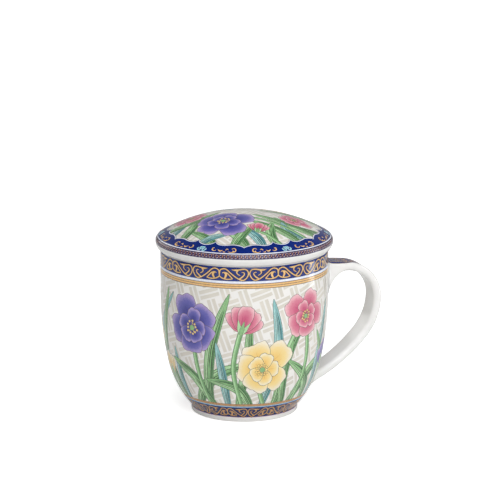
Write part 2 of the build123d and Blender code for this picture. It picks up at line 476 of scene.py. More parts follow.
print("mottling of", MOTTLE_MM, "mm in a pigment, streaks of", STREAK_MM, "mm in a petal")

# %% The woven ground
WEAVE_ROUND = 30  # strip pairs crossed in one turn
WEAVE_RISE = 10  # strip pairs climbed in one turn
WEAVE_DRIFT_MM = 9.0
weave_lay = 1 / (math.tau * rim_radius * MM)
weave_mm = math.tau * rim_radius / math.hypot(WEAVE_ROUND, WEAVE_RISE)
STRIP_MM, STRIP_GAP_MM, UNDER_GAP_MM = 1.8, 0.9, 0.85
strip_from = STRIP_GAP_MM / 2 / weave_mm
strip_to = (STRIP_GAP_MM / 2 + STRIP_MM) / weave_mm
under_to = strip_to + UNDER_GAP_MM / weave_mm


def weave_colour(flat):
    """The basket weave under the flowers: pairs of strips that pass over and under each other."""

    def make(tree, place):
        x, y, z = node(tree, "SeparateXYZ", {0: place})
        across, up = (x, y) if flat else (("MULTIPLY", ("ARCTAN2", y, x), rim_radius * MM), z)
        lays, offs, strips = [], [], []
        for long, short, sign in ((across, up, 1), (up, across, -1)):
            lean = ("MULTIPLY", short, sign * WEAVE_RISE * weave_lay)
            lay = {0: ("MULTIPLY", long, WEAVE_ROUND * weave_lay), 1: lean}
            lays.append(node(tree, "Math", lay, operation="ADD")[0])
            off = {0: ("SUBTRACT", ("FRACT", lays[-1]), 0.5)}
            offs.append(node(tree, "Math", off, operation="ABSOLUTE")[0])
            strip = {0: ("GREATER_THAN", offs[-1], strip_from), 1: ("LESS_THAN", offs[-1], strip_to)}
            strips.append(node(tree, "Math", strip, operation="MULTIPLY")[0])
        on_top = []
        for over, under in ((1, 0), (0, 1)):
            left = ("MULTIPLY", strips[under], ("GREATER_THAN", offs[over], under_to))
            on_top.append(node(tree, "Math", {0: strips[over], 1: left}, operation="MAXIMUM")[0])
        count = ("ADD", ("FLOOR", lays[0]), ("FLOOR", lays[1]))
        turn = {0: ("FLOORED_MODULO", count, 2.0), 1: 0.5}
        upright_over = node(tree, "Math", turn, operation="GREATER_THAN")[0]
        shown = node(tree, "Mix", {0: upright_over, 2: on_top[0], 3: on_top[1]})[0]
        tone = node(tree, "TexNoise", {"Vector": place, "Scale": 1 / (WEAVE_DRIFT_MM * MM), "Detail": 1.0})[0]
        tone = node(tree, "MapRange", {0: tone, **MIDDLE})[0]
        strip = node(tree, "Mix", {0: tone, 6: colour("DCD7CC"), 7: colour("E5E0D5")}, data_type="RGBA")[2]
        return node(tree, "Mix", {0: shown, 6: colour("F4F2EE"), 7: strip}, data_type="RGBA")[2]

    return make


print("weave: a pair of strips every", round(weave_mm, 2), "mm")

# %% All paints
PIGMENTS = {
    "white": ("white_porcelain", "F6F5F3", "F1F0EE", 14.0),
    "cobalt": ("cobalt_underglaze", "0D2F86", "0A2876", 2.5),
    "lid_cobalt": ("deep_cobalt_underglaze", "04287E", "032270", 2.5),
    "low_cobalt": ("navy_underglaze", "0C2160", "091A52", 2.5),
    "night": ("dark_cobalt_underglaze", "241F44", "1D1A3A"),
    "hairline": ("pale_blue_hairline", "F4F6FE", "E6EBFA"),
    "bright_blue": ("bright_blue_hairline", "1F55A8", "194A98"),
    "teal_line": ("pale_teal_hairline", "B9DDEE", "9CC9E4"),
    "gold": ("ochre_gold_enamel", "F2C98C", "E9BA78"),
    "gold_edge": ("burnt_gold_line", "6B4C38", "5C4234"),
    "old_gold": ("dark_ochre_gold_enamel", "DBA770", "CB955D"),
    "rose_line": ("rose_hairline", "E6C6D8", "D9B0C8"),
    "speckle": ("plum_diaper_ground", "3A2C5C", "2E234E"),
    "flint": ("pale_diaper_fleck", "E4D2CF", "CDB6B8"),
    "turquoise": ("turquoise_enamel", "86DEE0", "66C6CF"),
    "ink": ("sepia_outline_ink", "6E5748", "5A473B"),
    "leaf_ink": ("dark_green_outline_ink", "35492F", "293C29"),
    "green": ("leaf_green_enamel", "93C489", "86B97D"),
    "light_green": ("pale_leaf_green_enamel", "BCE0AF", "AED6A2"),
    "dark_green": ("deep_leaf_green_enamel", "5C8A5A", "4D7B50"),
    "teal": ("teal_enamel", "98CACA", "89BDBF"),
    "light_teal": ("pale_teal_enamel", "BCE2DF", "ABD6D4"),
    "dark_teal": ("deep_teal_enamel", "5A979C", "4C868D"),
    "violet_vein": ("deep_violet_enamel", "3B3A86", "322F74"),
    "yellow_vein": ("amber_enamel", "DDA554", "CC9045"),
    "rose_vein": ("deep_rose_enamel", "B04468", "9C3A5C"),
    "stamen": ("pale_yellow_enamel", "FBE39B", "F4CF75"),
}
PETALS = {
    "violet": ("violet_enamel", "45459A", "6462B4", "B7A4D8"),
    "yellow": ("yellow_enamel", "F8D27C", "FAE09A", "FAF1DC"),
    "rose": ("rose_enamel", "CF5C80", "DC7F96", "F3C4CB"),
}
paints = {paint: glazed(name, pigment(*tones)) for paint, (name, *tones) in PIGMENTS.items()}
paints |= {paint: glazed(name, petal_colour(*tones)) for paint, (name, *tones) in PETALS.items()}
paints["weave"] = glazed("woven_ground_print", weave_colour(flat=False))
paints["lid_weave"] = glazed("woven_ground_print_on_lid", weave_colour(flat=True))
paints["biscuit"] = unglazed("bare_fired_foot_ring", pigment("EAE4D8", "DDD5C6", 0.8))
print(len(paints), "ceramic paints")

# %% [markdown]
# ## Scrolls
# The bands carry a running vine scroll, an old border ornament: a C-scroll, a long stem, and an arch over
# a comma-shaped leaf, each mirrored at both ends. Half a unit is drawn once, as a few pen strokes in shares
# of its width and height, and a loop mirrors and repeats it. Dark strokes below the gold ones are wider,
# so that each gold line has the burnt edge that real gold printing has.

# %% One half unit of the scroll
VINE = [(1.0, 0.32), (0.995, 0.6), (0.965, 0.87), (0.85, 1.0)]
VINE += [(0.74, 0.91), (0.62, 0.62), (0.46, 0.28), (0.33, 0.06)]
CURL = [(0.33, 0.06), (0.2, -0.02), (0.1, 0.14), (0.035, 0.42)]
CURL += [(0.025, 0.68), (0.08, 0.92), (0.18, 0.985), (0.3, 0.94)]
FLAG = [(0.3, 0.94), (0.42, 0.9), (0.5, 0.9), (0.585, 0.94)]
INNER_CURL = [(0.32, 0.1), (0.235, 0.27), (0.17, 0.44), (0.155, 0.6), (0.195, 0.7), (0.25, 0.68)]
HOOK = [(0.375, 0.88), (0.41, 0.72), (0.39, 0.56), (0.3, 0.41)]
LEAF_EDGE = [(1.0, 0.32), (0.92, 0.16), (0.82, 0.07), (0.7, 0.05), (0.55, 0.1)]
LEAF_BACK = [(0.55, 0.1), (0.62, 0.3), (0.69, 0.5), (0.76, 0.63), (0.84, 0.67), (0.9, 0.6)]
LEAF_BODY = [(0.83, 0.66), (0.775, 0.5), (0.78, 0.33), (0.82, 0.13)]
STROKES = [
    (VINE, 0.62, 0.62, 0.62),
    (CURL, 0.62, 0.62, 0.62),
    (FLAG, 0.62, 1.0, 0.1),
    (INNER_CURL, 0.75, 0.6, 0.25),
    (HOOK, 1.0, 0.65, 0.25),
    (LEAF_EDGE, 0.62, 0.62, 0.5),
    (LEAF_BACK, 0.5, 0.62, 0.4),
    (LEAF_BODY, 0.9, 1.3, 0.9),
]
BURNT_EDGE = 0.7  # how much wider the dark strokes are


def scroll_band(repeats, radius, low, height, gold, phase, weight):
    """A band of scrolls round the mug at this radius, its strokes in real millimetres there."""
    half_unit = math.pi * radius / repeats
    stretch = rim_radius / radius
    shapes = {gold: [], "night": []}
    for points, *widths in STROKES:
        line = smooth_line([(s * half_unit, h * height) for s, h in points], 4)
        shapes[gold].append(ribbon(line, pen(*(w * weight for w in widths))))
        shapes["night"].append(ribbon(line, pen(*(w * weight + BURNT_EDGE for w in widths))))
    prints = []
    for paint in ("night", gold):
        for unit in range(repeats):
            middle = (phase + unit * math.tau / repeats) % math.tau * rim_radius
            for side in (stretch, -stretch):
                prints += [shape(moved(o, (middle, low), (side, 1)), paint) for o in shapes[paint]]
    return prints


print("scroll:", len(STROKES), "strokes in half a unit")

# %% [markdown]
# ## Leaves and blossoms
# The field carries long grass blades and plain five-petalled garden blossoms. A blade is a tapering
# stroke with an inked edge, a pale and a dark side and a few veins. A petal is a ruffled oval whose paint
# runs from its heart to its rim. All of it is drawn flat, in millimetres, and cut in like the scrolls.

# %% Blades and stems
GREENS = ("green", "light_green", "dark_green")
TEALS = ("teal", "light_teal", "dark_teal")
INK_MM = 0.2
VEINS = ((-0.46, 0.06), (-0.1, 0.08), (0.24, 0.06), (0.62, 0.055))  # place across a blade, and width
BLADE_POINT = 0.02


def blade(points, width, tones, seed):
    """A grass blade from its foot to its tip: inked edge, a pale and a dark side, and long engraved veins."""
    line = smooth_line(points, 6)
    last = len(line) - 1
    body, light, dark = tones
    chance = random.Random(seed)

    def full(t):
        return width * max(BLADE_POINT, math.sin(math.pi * (0.25 + 0.75 * t) ** 1.2) ** 0.8)

    def streak(offset, share, paint, start, end):
        def here(t):
            return full(start + (end - start) * t)

        def taper(t):
            return min(1.0, 6 * t, 6 * (1 - t)) * share * here(t) + BLADE_POINT

        part = line[int(start * last) : int(end * last) + 1]
        centre = sideways(part, lambda t: offset * here(t) / 2)
        return [shape(ribbon(centre, taper), paint)] if len(part) > 2 else []

    prints = [shape(ribbon(line, lambda t: full(t) + 2 * INK_MM), "leaf_ink")]
    prints.append(shape(ribbon(line, full), body))
    prints += streak(0.5, 0.3, light, 0.0, 0.92)
    prints += streak(-0.68, 0.24, dark, 0.0, 0.9)
    for offset, share in VEINS:
        start, gap, end = chance.uniform(0.0, 0.08), chance.uniform(0.35, 0.75), chance.uniform(0.84, 0.95)
        prints += streak(offset, share, "leaf_ink", start, gap)
        prints += streak(offset, share, "leaf_ink", gap + 0.04, end)
    return prints


def stem(points, width, tones):
    """A flower stem, inked at both sides."""
    line = smooth_line(points, 6)
    body, light, dark = tones
    prints = []
    for shift, breadth, paint in (
        (0.0, width + 2 * INK_MM, "leaf_ink"),
        (0.0, width, body),
        (0.22 * width, 0.25 * width, light),
        (-0.3 * width, 0.14 * width, dark),
    ):
        prints.append(shape(ribbon(sideways(line, lambda t: shift), lambda t: breadth), paint))
    return prints


print("a blade has", len(blade(((0, 0), (4, 20), (0, 40)), 5.0, GREENS, 0)), "prints")

# %% Petals
PETAL_CORNERS = 44
RUFFLES = ((3, 0.035), (5, 0.03), (9, 0.03), (15, 0.018))  # waves round a petal's edge, and their depth


def petal(root, turn, length, width, paint, chance):
    """One ruffled petal from its root outwards, with its ink line, veins and a pale streak at its throat."""
    waves = [(n, depth * chance.uniform(0.6, 1.2), chance.uniform(0, math.tau)) for n, depth in RUFFLES]
    edges = {0.0: [], INK_MM: []}
    for k in range(PETAL_CORNERS):
        angle = math.tau * k / PETAL_CORNERS - math.pi
        outward = 0.5 + 0.5 * math.cos(angle)
        ruffle = 1 + sum(depth * math.sin(n * angle + phase) for n, depth, phase in waves) * outward
        ruffle -= 0.07 * math.exp(-((angle / 0.2) ** 2))
        for grow, edge in edges.items():
            x = 0.5 * length * (1 + (math.cos(angle) - 0.06 * math.cos(3 * angle)) * ruffle)
            y = 0.5 * width * math.sin(angle) * ruffle * (0.55 + 0.5 * outward)
            edge.append((x + grow * math.cos(angle), y + grow * math.sin(angle)))

    def laid(outline):
        return moved(outline, root, turn=turn)

    heart = (laid([(0.42 * length, 0)])[0], turn, 0.6 * length, 0.56 * width)
    prints = [shape(laid(edges[INK_MM]), "ink"), shape(laid(edges[0.0]), paint, heart)]
    for lean in (-0.3, -0.15, 0.0, 0.15, 0.3):
        reach = length * chance.uniform(0.5, 0.72) * (1 - abs(lean))
        vein = [(0.08 * length, 0.1 * lean * width), (0.5 * reach, 0.7 * lean * width), (reach, lean * width)]
        prints.append(shape(ribbon(laid(smooth_line(vein, 3)), pen(0.3, 0.22, 0.05)), paint + "_vein"))
    throat = laid(smooth_line([(0.05 * length, 0), (0.2 * length, 0.02 * width), (0.36 * length, 0)], 3))
    return prints + [shape(ribbon(throat, pen(0.1, 0.08 * width, 0.05)), "stamen")]


print("a petal has", len(petal((0, 0), 0.0, 10.0, 8.0, "rose", random.Random(0))), "prints")

# %% Blossoms and the whole bed
PETALS_EACH, STAMENS = 5, 11


def dot(centre, radius, corners, paint):
    """A small round print with its ink line."""
    return [shape(disc(centre, radius + 0.14, corners), "ink"), shape(disc(centre, radius, corners), paint)]


def blossom(centre, radius, paint, facing, seed):
    """An open blossom that faces a little to one side, so that its far petals are the longer ones."""
    chance = random.Random(seed)
    prints = []
    for whorl, size in ((0, 1.0), (0.5, 0.56)):
        leans = [k + whorl + chance.uniform(-0.07, 0.07) for k in range(PETALS_EACH)]
        turns = [facing + math.tau * lean / PETALS_EACH for lean in leans]
        for turn in sorted(turns, key=lambda t: -math.cos(t - facing)):
            length = radius * size * chance.uniform(0.92, 1.08) * (1 + 0.16 * math.cos(turn - facing))
            prints += petal(centre, turn, length, radius * size * chance.uniform(0.98, 1.12), paint, chance)
    for turn in spread(facing, facing + math.tau, STAMENS)[:-1]:
        reach = radius * chance.uniform(0.14, 0.24)
        tip = (centre[0] + reach * math.cos(turn), centre[1] + reach * math.sin(turn))
        prints.append(shape(ribbon([centre, tip], lambda t: 0.22), "ink"))
        prints += dot(tip, 0.036 * radius, 8, "stamen")
    return prints + dot(centre, 0.09 * radius, 12, "green")


def cup(root, length, turn, paint, spreading, seed):
    """A blossom or bud seen from its side: petals that fan out from a green cup."""
    chance = random.Random(seed)
    prints = []
    for share in (-1, 1, -0.55, 0.55, 0):
        reach = length * (1 - 0.12 * abs(share)) * chance.uniform(0.95, 1.05)
        breadth = length * (0.42 + 0.3 * spreading)
        prints += petal(root, turn + share * spreading, reach, breadth, paint, chance)
    for lean in (-1, 1, 0):
        tip = (0.4 * length, 0.3 * lean * spreading * length)
        sepal = smooth_line([(-0.1 * length, 0), (0.1 * length, 0.1 * lean * length), tip], 4)
        sepal = moved(sepal, root, turn=turn)
        prints.append(shape(ribbon(sepal, pen(0.1 * length, 0.15 * length + 0.3, 0.2)), "leaf_ink"))
        body = pen(0.08 * length, 0.15 * length, 0.05)
        prints.append(shape(ribbon(sepal, body), "light_green" if lean else "green"))
    return prints


def garden(blades, blade_seed, stems, stem_width, heads, head_seed, place):
    """Blades and stems from the back of the clump to its front, and blossoms on top, each at its place."""
    prints = []
    for seed, (*places, width, tones) in enumerate(blades, blade_seed):
        prints += blade([place(*p) for p in places], width, tones, seed)
    for places in stems:
        prints += stem([place(*p) for p in places], stem_width, GREENS)
    for seed, (draw, centre, *rest) in enumerate(heads, head_seed):
        prints += draw(place(*centre), *rest, seed)
    return prints


print("a blossom has", len(blossom((0, 0), 15.0, "rose", 0.0, 0)), "prints")

# %% [markdown]
# ## The mug's printed outside
# The transfer is a strip as long as the mug is round. Its two ends stop short of the handle and leave a
# bare upright stripe behind it. From the rim down it has the cobalt scroll band, a pale hairline, a double
# gold line, the flower field on its woven ground, gold again, and a second scroll band above the white foot.
# The piece also gets a texture map on which no two surfaces overlap, so that its paints can be baked.

# %% The mug's print
COLUMNS = 192
ROWS = 56
PRINT_FROM = 0.8  # top of the foot's rounding
PRINT_BELOW_RIM = 0.4
FRONT = math.radians(360 - 108.8)  # direction that the mug's front faces, from the handle's
sheet_width = math.tau * rim_radius
print_to = mug_height - PRINT_BELOW_RIM
FIELD_LOW, FIELD_HIGH = 10.75, 71.75
BARE_STRIPE = 8.5


def across(degrees, height=0.0):
    """A place on the sheet, by its angle to the right of the front and its height."""
    return (FRONT + math.radians(degrees)) * rim_radius, height


def band(low, high, paint):
    return shape(rectangle(-5, low, sheet_width + 5, high), paint)


def wrapped(prints):
    """The prints, with copies of those that run over an end of the sheet."""
    for one in prints:
        left, right = min(x for x, _ in one.outline), max(x for x, _ in one.outline)
        yield one
        if right - left > sheet_width:
            continue
        for shift in ((sheet_width,) if left < 0 else ()) + ((-sheet_width,) if right > sheet_width else ()):
            heart = one.heart and ((one.heart[0][0] + shift, one.heart[0][1]), *one.heart[1:])
            yield Print([(x + shift, y) for x, y in one.outline], one.paint, heart)


def on_mug(u, v):
    """The mug's outside at a place on the flat sheet: point and normal."""
    return swung(wall_at(v), u / rim_radius)


print("transfer sheet:", round(sheet_width, 1), "by", round(print_to - PRINT_FROM, 1), "mm")

# %% The mug's texture map
MAP_GAP, MAP_EDGE = 2.5, 1.0
MUG_MAP = 2 * (mug_height + MAP_GAP)  # the texture map's side: both half turns fit on it, one above the other
INSIDE_MAP_WIDTH, FOOT_MAP_WIDTH, BARE_MAP_HEIGHT = 29.0, 9.0, 78.0


def map_of_print(at, middle):
    """Half of the print lies below on the texture map, the other half above, so that it shows large."""
    if middle.x > sheet_width / 2:
        return at.x - sheet_width / 2 + MAP_EDGE, at.y + mug_height + MAP_GAP
    return at.x + MAP_EDGE, at.y + MAP_EDGE


def map_beside(low, width, number=0):
    """The unprinted surfaces stand beside the print on the texture map, smaller, and in numbered strips."""
    left = sheet_width / 2 + 2 * MAP_GAP + number * (width + MAP_EDGE)
    return lambda along, turn: (left + width * along, low + BARE_MAP_HEIGHT * turn)


print("mug's texture map:", round(MUG_MAP, 1), "mm square")

# %% [markdown]
# The flower field goes once round the mug. Blades and stems come first, from the back of the clump to its
# front, and the blossoms lie on top. Each blade is given by three places: its foot, its bend and its tip,
# as an angle from the front and a height in millimetres.

# %% The flower field
BLADES = (
    ((-92, 8), (-80, 40), (-56, 66), 4.6, TEALS),
    ((-84, 8), (-90, 36), (-108, 60), 5.0, GREENS),
    ((-74, 8), (-72, 40), (-62, 68), 5.2, GREENS),
    ((-60, 8), (-66, 26), (-84, 40), 5.4, GREENS),
    ((-54, 8), (-56, 24), (-58, 38), 4.2, TEALS),
    ((-44, 8), (-22, 26), (6, 34), 6.0, GREENS),
    ((-30, 8), (-24, 40), (-10, 69), 5.6, GREENS),
    ((-26, 8), (-40, 24), (-62, 32), 5.6, GREENS),
    ((-14, 8), (-16, 26), (-20, 44), 4.6, TEALS),
    ((-6, 8), (2, 34), (4, 58), 4.8, GREENS),
    ((6, 8), (-6, 20), (-30, 24), 5.4, GREENS),
    ((14, 8), (24, 40), (20, 66), 5.2, TEALS),
    ((26, 8), (34, 40), (58, 66), 5.6, GREENS),
    ((34, 8), (30, 24), (36, 44), 4.8, GREENS),
    ((40, 8), (56, 26), (84, 34), 5.8, GREENS),
    ((58, 8), (52, 22), (32, 34), 5.6, GREENS),
    ((66, 8), (66, 34), (74, 60), 5.2, TEALS),
    ((78, 8), (74, 26), (60, 46), 5.0, GREENS),
    ((90, 8), (92, 40), (84, 68), 5.4, GREENS),
    ((104, 8), (98, 24), (84, 36), 4.8, TEALS),
    ((112, 8), (116, 36), (108, 58), 5.2, GREENS),
    ((128, 8), (146, 30), (172, 34), 5.8, GREENS),
    ((140, 8), (138, 38), (150, 67), 5.4, GREENS),
    ((152, 8), (146, 30), (128, 46), 4.8, TEALS),
    ((166, 8), (156, 22), (136, 28), 5.4, GREENS),
    ((180, 8), (190, 36), (206, 60), 5.4, TEALS),
    ((196, 8), (188, 26), (166, 40), 5.6, GREENS),
    ((206, 8), (206, 36), (196, 66), 5.2, GREENS),
    ((222, 8), (232, 30), (254, 40), 5.6, GREENS),
    ((234, 8), (226, 30), (212, 44), 4.8, GREENS),
    ((240, 8), (244, 38), (236, 66), 5.0, TEALS),
    ((254, 8), (248, 22), (234, 28), 5.2, GREENS),
)
STEMS = (
    ((-30, 8), (-36, 30), (-38, 50)),
    ((18, 8), (12, 18), (13, 28)),
    ((44, 8), (50, 32), (46, 54)),
    ((-2, 8), (-8, 30), (-2, 51)),
    ((74, 8), (80, 20), (77, 26)),
    ((-66, 8), (-70, 16), (-69, 22)),
    ((132, 8), (126, 34), (130, 52)),
    ((182, 8), (172, 30), (176, 46)),
    ((214, 8), (212, 34), (220, 54)),
    ((-88, 8), (-96, 26), (-92, 38)),
    ((98, 8), (106, 20), (104, 32)),
    ((150, 8), (158, 38), (156, 56)),
)
HEADS = (
    (blossom, (-38, 50), 15.5, "violet", 2.0),
    (blossom, (13, 30), 15.5, "yellow", 0.6),
    (blossom, (46, 55), 13.0, "rose", 1.2),
    (cup, (-2, 50), 14.0, 1.3, "rose", 0.75),
    (cup, (77, 26), 13.0, 1.5, "violet", 0.7),
    (cup, (-69, 22), 12.0, 1.9, "yellow", 0.65),
    (blossom, (130, 52), 15.5, "yellow", 1.0),
    (blossom, (176, 45), 15.0, "violet", 2.4),
    (blossom, (220, 54), 13.0, "rose", 0.8),
    (blossom, (-92, 38), 12.0, "yellow", 1.8),
    (blossom, (104, 32), 13.0, "violet", 1.4),
    (cup, (156, 56), 11.0, 1.3, "rose", 0.45),
)
field = garden(BLADES, 0, STEMS, 2.3, HEADS, 1, across)
print("flower field:", len(field), "prints")

# %% The mug's bands
first_mirror = FRONT + math.radians(3.2)
mug_prints = [band(FIELD_LOW, FIELD_HIGH, "weave"), *field]
for low, high, paint in (
    (PRINT_FROM - 2, FIELD_LOW, "white"),
    (FIELD_HIGH, print_to + 2, "cobalt"),
    (71.7, 74.25, "gold_edge"),
    (71.98, 72.85, "gold"),
    (73.08, 73.95, "gold"),
    (74.25, 75.45, "hairline"),
    (9.35, 10.8, "gold_edge"),
    (9.52, 10.0, "old_gold"),
    (10.14, 10.6, "old_gold"),
    (8.85, 9.35, "teal_line"),
    (8.45, 8.85, "bright_blue"),
    (2.55, 8.45, "low_cobalt"),
    (2.3, 2.55, "rose_line"),
):
    mug_prints.append(band(low, high, paint))
mug_prints += scroll_band(9, rim_radius, 76.1, 5.5, "gold", first_mirror, 0.85)
mug_prints += scroll_band(9, 29.5, 3.05, 4.85, "old_gold", first_mirror, 0.68)
for left, right in ((-BARE_STRIPE, 1), (-1, BARE_STRIPE)):  # each reaches over the sheet's end
    mug_prints.append(shape(rectangle(left, FIELD_LOW, right, FIELD_HIGH), "white"))

mug_border, mug_dots = grid(spread(0, sheet_width, COLUMNS), spread(PRINT_FROM, print_to, ROWS))
mug_sheet = inlay(mug_border, list(wrapped(mug_prints)), mug_dots, "white", on_mug, map_of_print)
print("mug sheet:", len(mug_sheet.faces), "faces")

# %% [markdown]
# ## The rest of the mug
# Rim, inside, floor and foot are white under the same glaze, apart from the bare ring that the mug stands
# on. They continue the printed sheet as turned surfaces: the same columns, and arcs for the rounded rim,
# the cavity's corner and the foot ring.

# %% Rim, inside and foot
FOOT_ROUND = 0.8
FOOT_RING = 3.0
FOOT_RECESS = 2.2
FOOT_CORNER = 0.4
FLOOR = 4.4
FLOOR_CORNER = 9.0
INSIDE_ROWS = 40
WIPED = 50  # degrees of each of the ring's roundings that keep their glaze
floor_top = FOOT_RECESS + FLOOR

inner = wall_radius(mug_height, WALL)
round_z = mug_height - RIM_ROUND
print_edge = math.degrees(math.asin((print_to - round_z) / RIM_ROUND))
inside = arc((rim_radius - RIM_ROUND, round_z), RIM_ROUND, print_edge, 90, 5)
inside += arc((inner + RIM_ROUND, round_z), RIM_ROUND, 90, 180, 6)
corner_z = floor_top + FLOOR_CORNER
corner_reach = bowl_radius - WALL - FLOOR_CORNER
corner_r = bowl_centre.x + math.sqrt(corner_reach**2 - (bowl_centre.y - corner_z) ** 2)
touch = math.degrees(math.atan2(corner_z - bowl_centre.y, corner_r - bowl_centre.x))
low_z = corner_z + FLOOR_CORNER * math.sin(math.radians(touch))
for z in spread(round_z, low_z, INSIDE_ROWS)[1:-1]:
    r, z, nr, nz = wall_at(z, WALL)
    inside.append((r, z, -nr, -nz))
inside += arc((corner_r, corner_z), FLOOR_CORNER, touch, -90, 10, -1)
inside.append((0.0, floor_top, 0.0, 1.0))

ring_in, ring_out = FOOT_RADIUS - FOOT_RING, FOOT_RADIUS
recess_radius = ring_in - FOOT_CORNER
recess = [(0.0, FOOT_RECESS, 0.0, -1.0), (recess_radius, FOOT_RECESS, 0.0, -1.0)]
recess += arc((recess_radius, FOOT_RECESS - FOOT_CORNER), FOOT_CORNER, 90, 0, 3, -1)
recess += arc((ring_in + FOOT_ROUND, FOOT_ROUND), FOOT_ROUND, 180, 180 + WIPED, 4)
wiped = arc((ring_in + FOOT_ROUND, FOOT_ROUND), FOOT_ROUND, 180 + WIPED, 270, 3)
wiped += arc((ring_out - FOOT_ROUND, FOOT_ROUND), FOOT_ROUND, 270, 360 - WIPED, 3)
foot_outer = arc((ring_out - FOOT_ROUND, FOOT_ROUND), FOOT_ROUND, 360 - WIPED, 360, 4)
mug_patches = [mug_sheet, turned(inside, "white", COLUMNS, map_beside(MAP_EDGE, INSIDE_MAP_WIDTH))]
foot_low = mug_height + MAP_GAP + MAP_EDGE
for number, (profile, paint) in enumerate(((recess, "white"), (wiped, "biscuit"), (foot_outer, "white"))):
    mug_patches.append(turned(profile, paint, COLUMNS, map_beside(foot_low, FOOT_MAP_WIDTH, number)))
mug = make_piece("printed_mug", mug_patches, paints, MUG_MAP)
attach(mug, "mug")
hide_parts("mug_body")

# %% [markdown]
# ## The lid
# The lid is a shallow dome with a rolled edge. Its transfer is a disc, so it is laid out as one: the
# distance from the middle is the length along the profile from the crown. A scalloped border with cusps
# frames the flowers, a hairline and a speckled diaper band run round the roll, and the edge stays white.

# %% The lid's profile
lid_low, lid_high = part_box("lid")
lid_radius = lid_high.x / MM
crown = lid_high.z / MM
LID_ROLL = 3.1
LID_RISE = 14.1
LID_TUCK = 1.5
LID_EDGE_HEIGHT = 3.7
LID_EDGE_ROUND = 0.6
PRINTED_TUCK = 0.86  # how much of the tuck under the edge the printed sheet covers
widest = crown - LID_RISE
lid_seat = widest - LID_EDGE_HEIGHT
roll_x = lid_radius - LID_ROLL
dome_radius = (roll_x**2 + LID_RISE**2 - LID_ROLL**2) / (2 * (LID_RISE - LID_ROLL))
dome_z = crown - dome_radius
dome_angle = math.atan2(roll_x, widest - dome_z)
dome_length = dome_radius * dome_angle
roll_length = LID_ROLL * (math.pi / 2 - dome_angle)
tuck_radius = (LID_TUCK**2 + LID_EDGE_HEIGHT**2) / (2 * LID_TUCK)
tuck_angle = math.asin(LID_EDGE_HEIGHT / tuck_radius)
lid_reach = dome_length + roll_length + tuck_radius * tuck_angle * PRINTED_TUCK


def lid_profile(length):
    """Radius, height and normal at a length along the lid's outside from the crown."""
    if length < dome_length:
        a = length / dome_radius
        return dome_radius * math.sin(a), dome_z + dome_radius * math.cos(a), math.sin(a), math.cos(a)
    length -= dome_length
    if length < roll_length:
        a = dome_angle + length / LID_ROLL
        return roll_x + LID_ROLL * math.sin(a), widest + LID_ROLL * math.cos(a), math.sin(a), math.cos(a)
    a = (length - roll_length) / tuck_radius
    r = lid_radius - tuck_radius * (1 - math.cos(a))
    return r, widest - tuck_radius * math.sin(a), math.cos(a), -math.sin(a)


def on_lid(x, y):
    """The lid's outside at a place on the flat disc: point and normal."""
    return swung(lid_profile(math.hypot(x, y)), math.atan2(y, x))


print("lid: dome arc", round(dome_radius, 1), "mm, sheet radius", round(lid_reach, 2), "mm")

# %% The lid's texture map
TOP_SHARE = 0.86  # of the lid's texture map, for the disc of its print
UNDER_SHARE = 0.14
lid_map = 2 * lid_reach / TOP_SHARE


def map_of_lid(at, middle):
    """The lid's print lies in one corner of its texture map."""
    return at.x + lid_reach + MAP_EDGE / 2, at.y + lid_reach + MAP_EDGE / 2


def map_of_underside(along, turn):
    """The underside is a smaller disc in the opposite corner."""
    radius, centre = UNDER_SHARE * lid_map * (1 - along), lid_map * (1 - UNDER_SHARE) - MAP_EDGE
    return centre + radius * math.cos(math.tau * turn), centre + radius * math.sin(math.tau * turn)


print("lid's texture map:", round(lid_map, 1), "mm square")

# %% The lid's lobed edge
SCALLOPS = 6
SCALLOP_AT = 39.6
HAIRLINE = (45.05, 45.6)
DIAPER_TO = 48.4


def polar(length, degrees):
    """A point on the lid's sheet, by length from the crown and angle seen from the front."""
    angle = FRONT + math.radians(degrees)
    return (length * math.cos(angle), length * math.sin(angle))


def scallop(degrees):
    """Distance of the border's lobed edge from the crown: a cusp between units, bumps beside each rosette."""
    part = 360 / SCALLOPS
    d = abs((degrees + part / 2) % part - part / 2)
    cusp = 1.3 * math.exp(-d / 1.6)
    wide = -0.9 * math.exp(-(((d - 8) / 5) ** 2))
    bump = -2.5 * math.exp(-abs(d - 22.5) / 2.2)
    return SCALLOP_AT + cusp + wide + bump + 0.4 * math.exp(-(((d - 30) / 4) ** 2))


def edge_line(length_at, grow=0.0, degrees=range(720)):
    """Points round the crown, two to each degree, at a length that is given for each angle or for all."""
    return [polar((length_at(d / 2) if callable(length_at) else length_at) + grow, d / 2) for d in degrees]


def annulus(inner, outer, paint):
    """A ring-shaped print, as two half rings, so that what lies inside stays as it is."""
    halves = []
    for start in (0, 360):
        there = range(start, start + 361)
        halves.append(shape(edge_line(*outer, there) + edge_line(*inner, there[::-1]), paint))
    return halves


print("the lobed edge lies", round(scallop(22.5), 1), "to", round(scallop(0), 1), "mm from the crown")

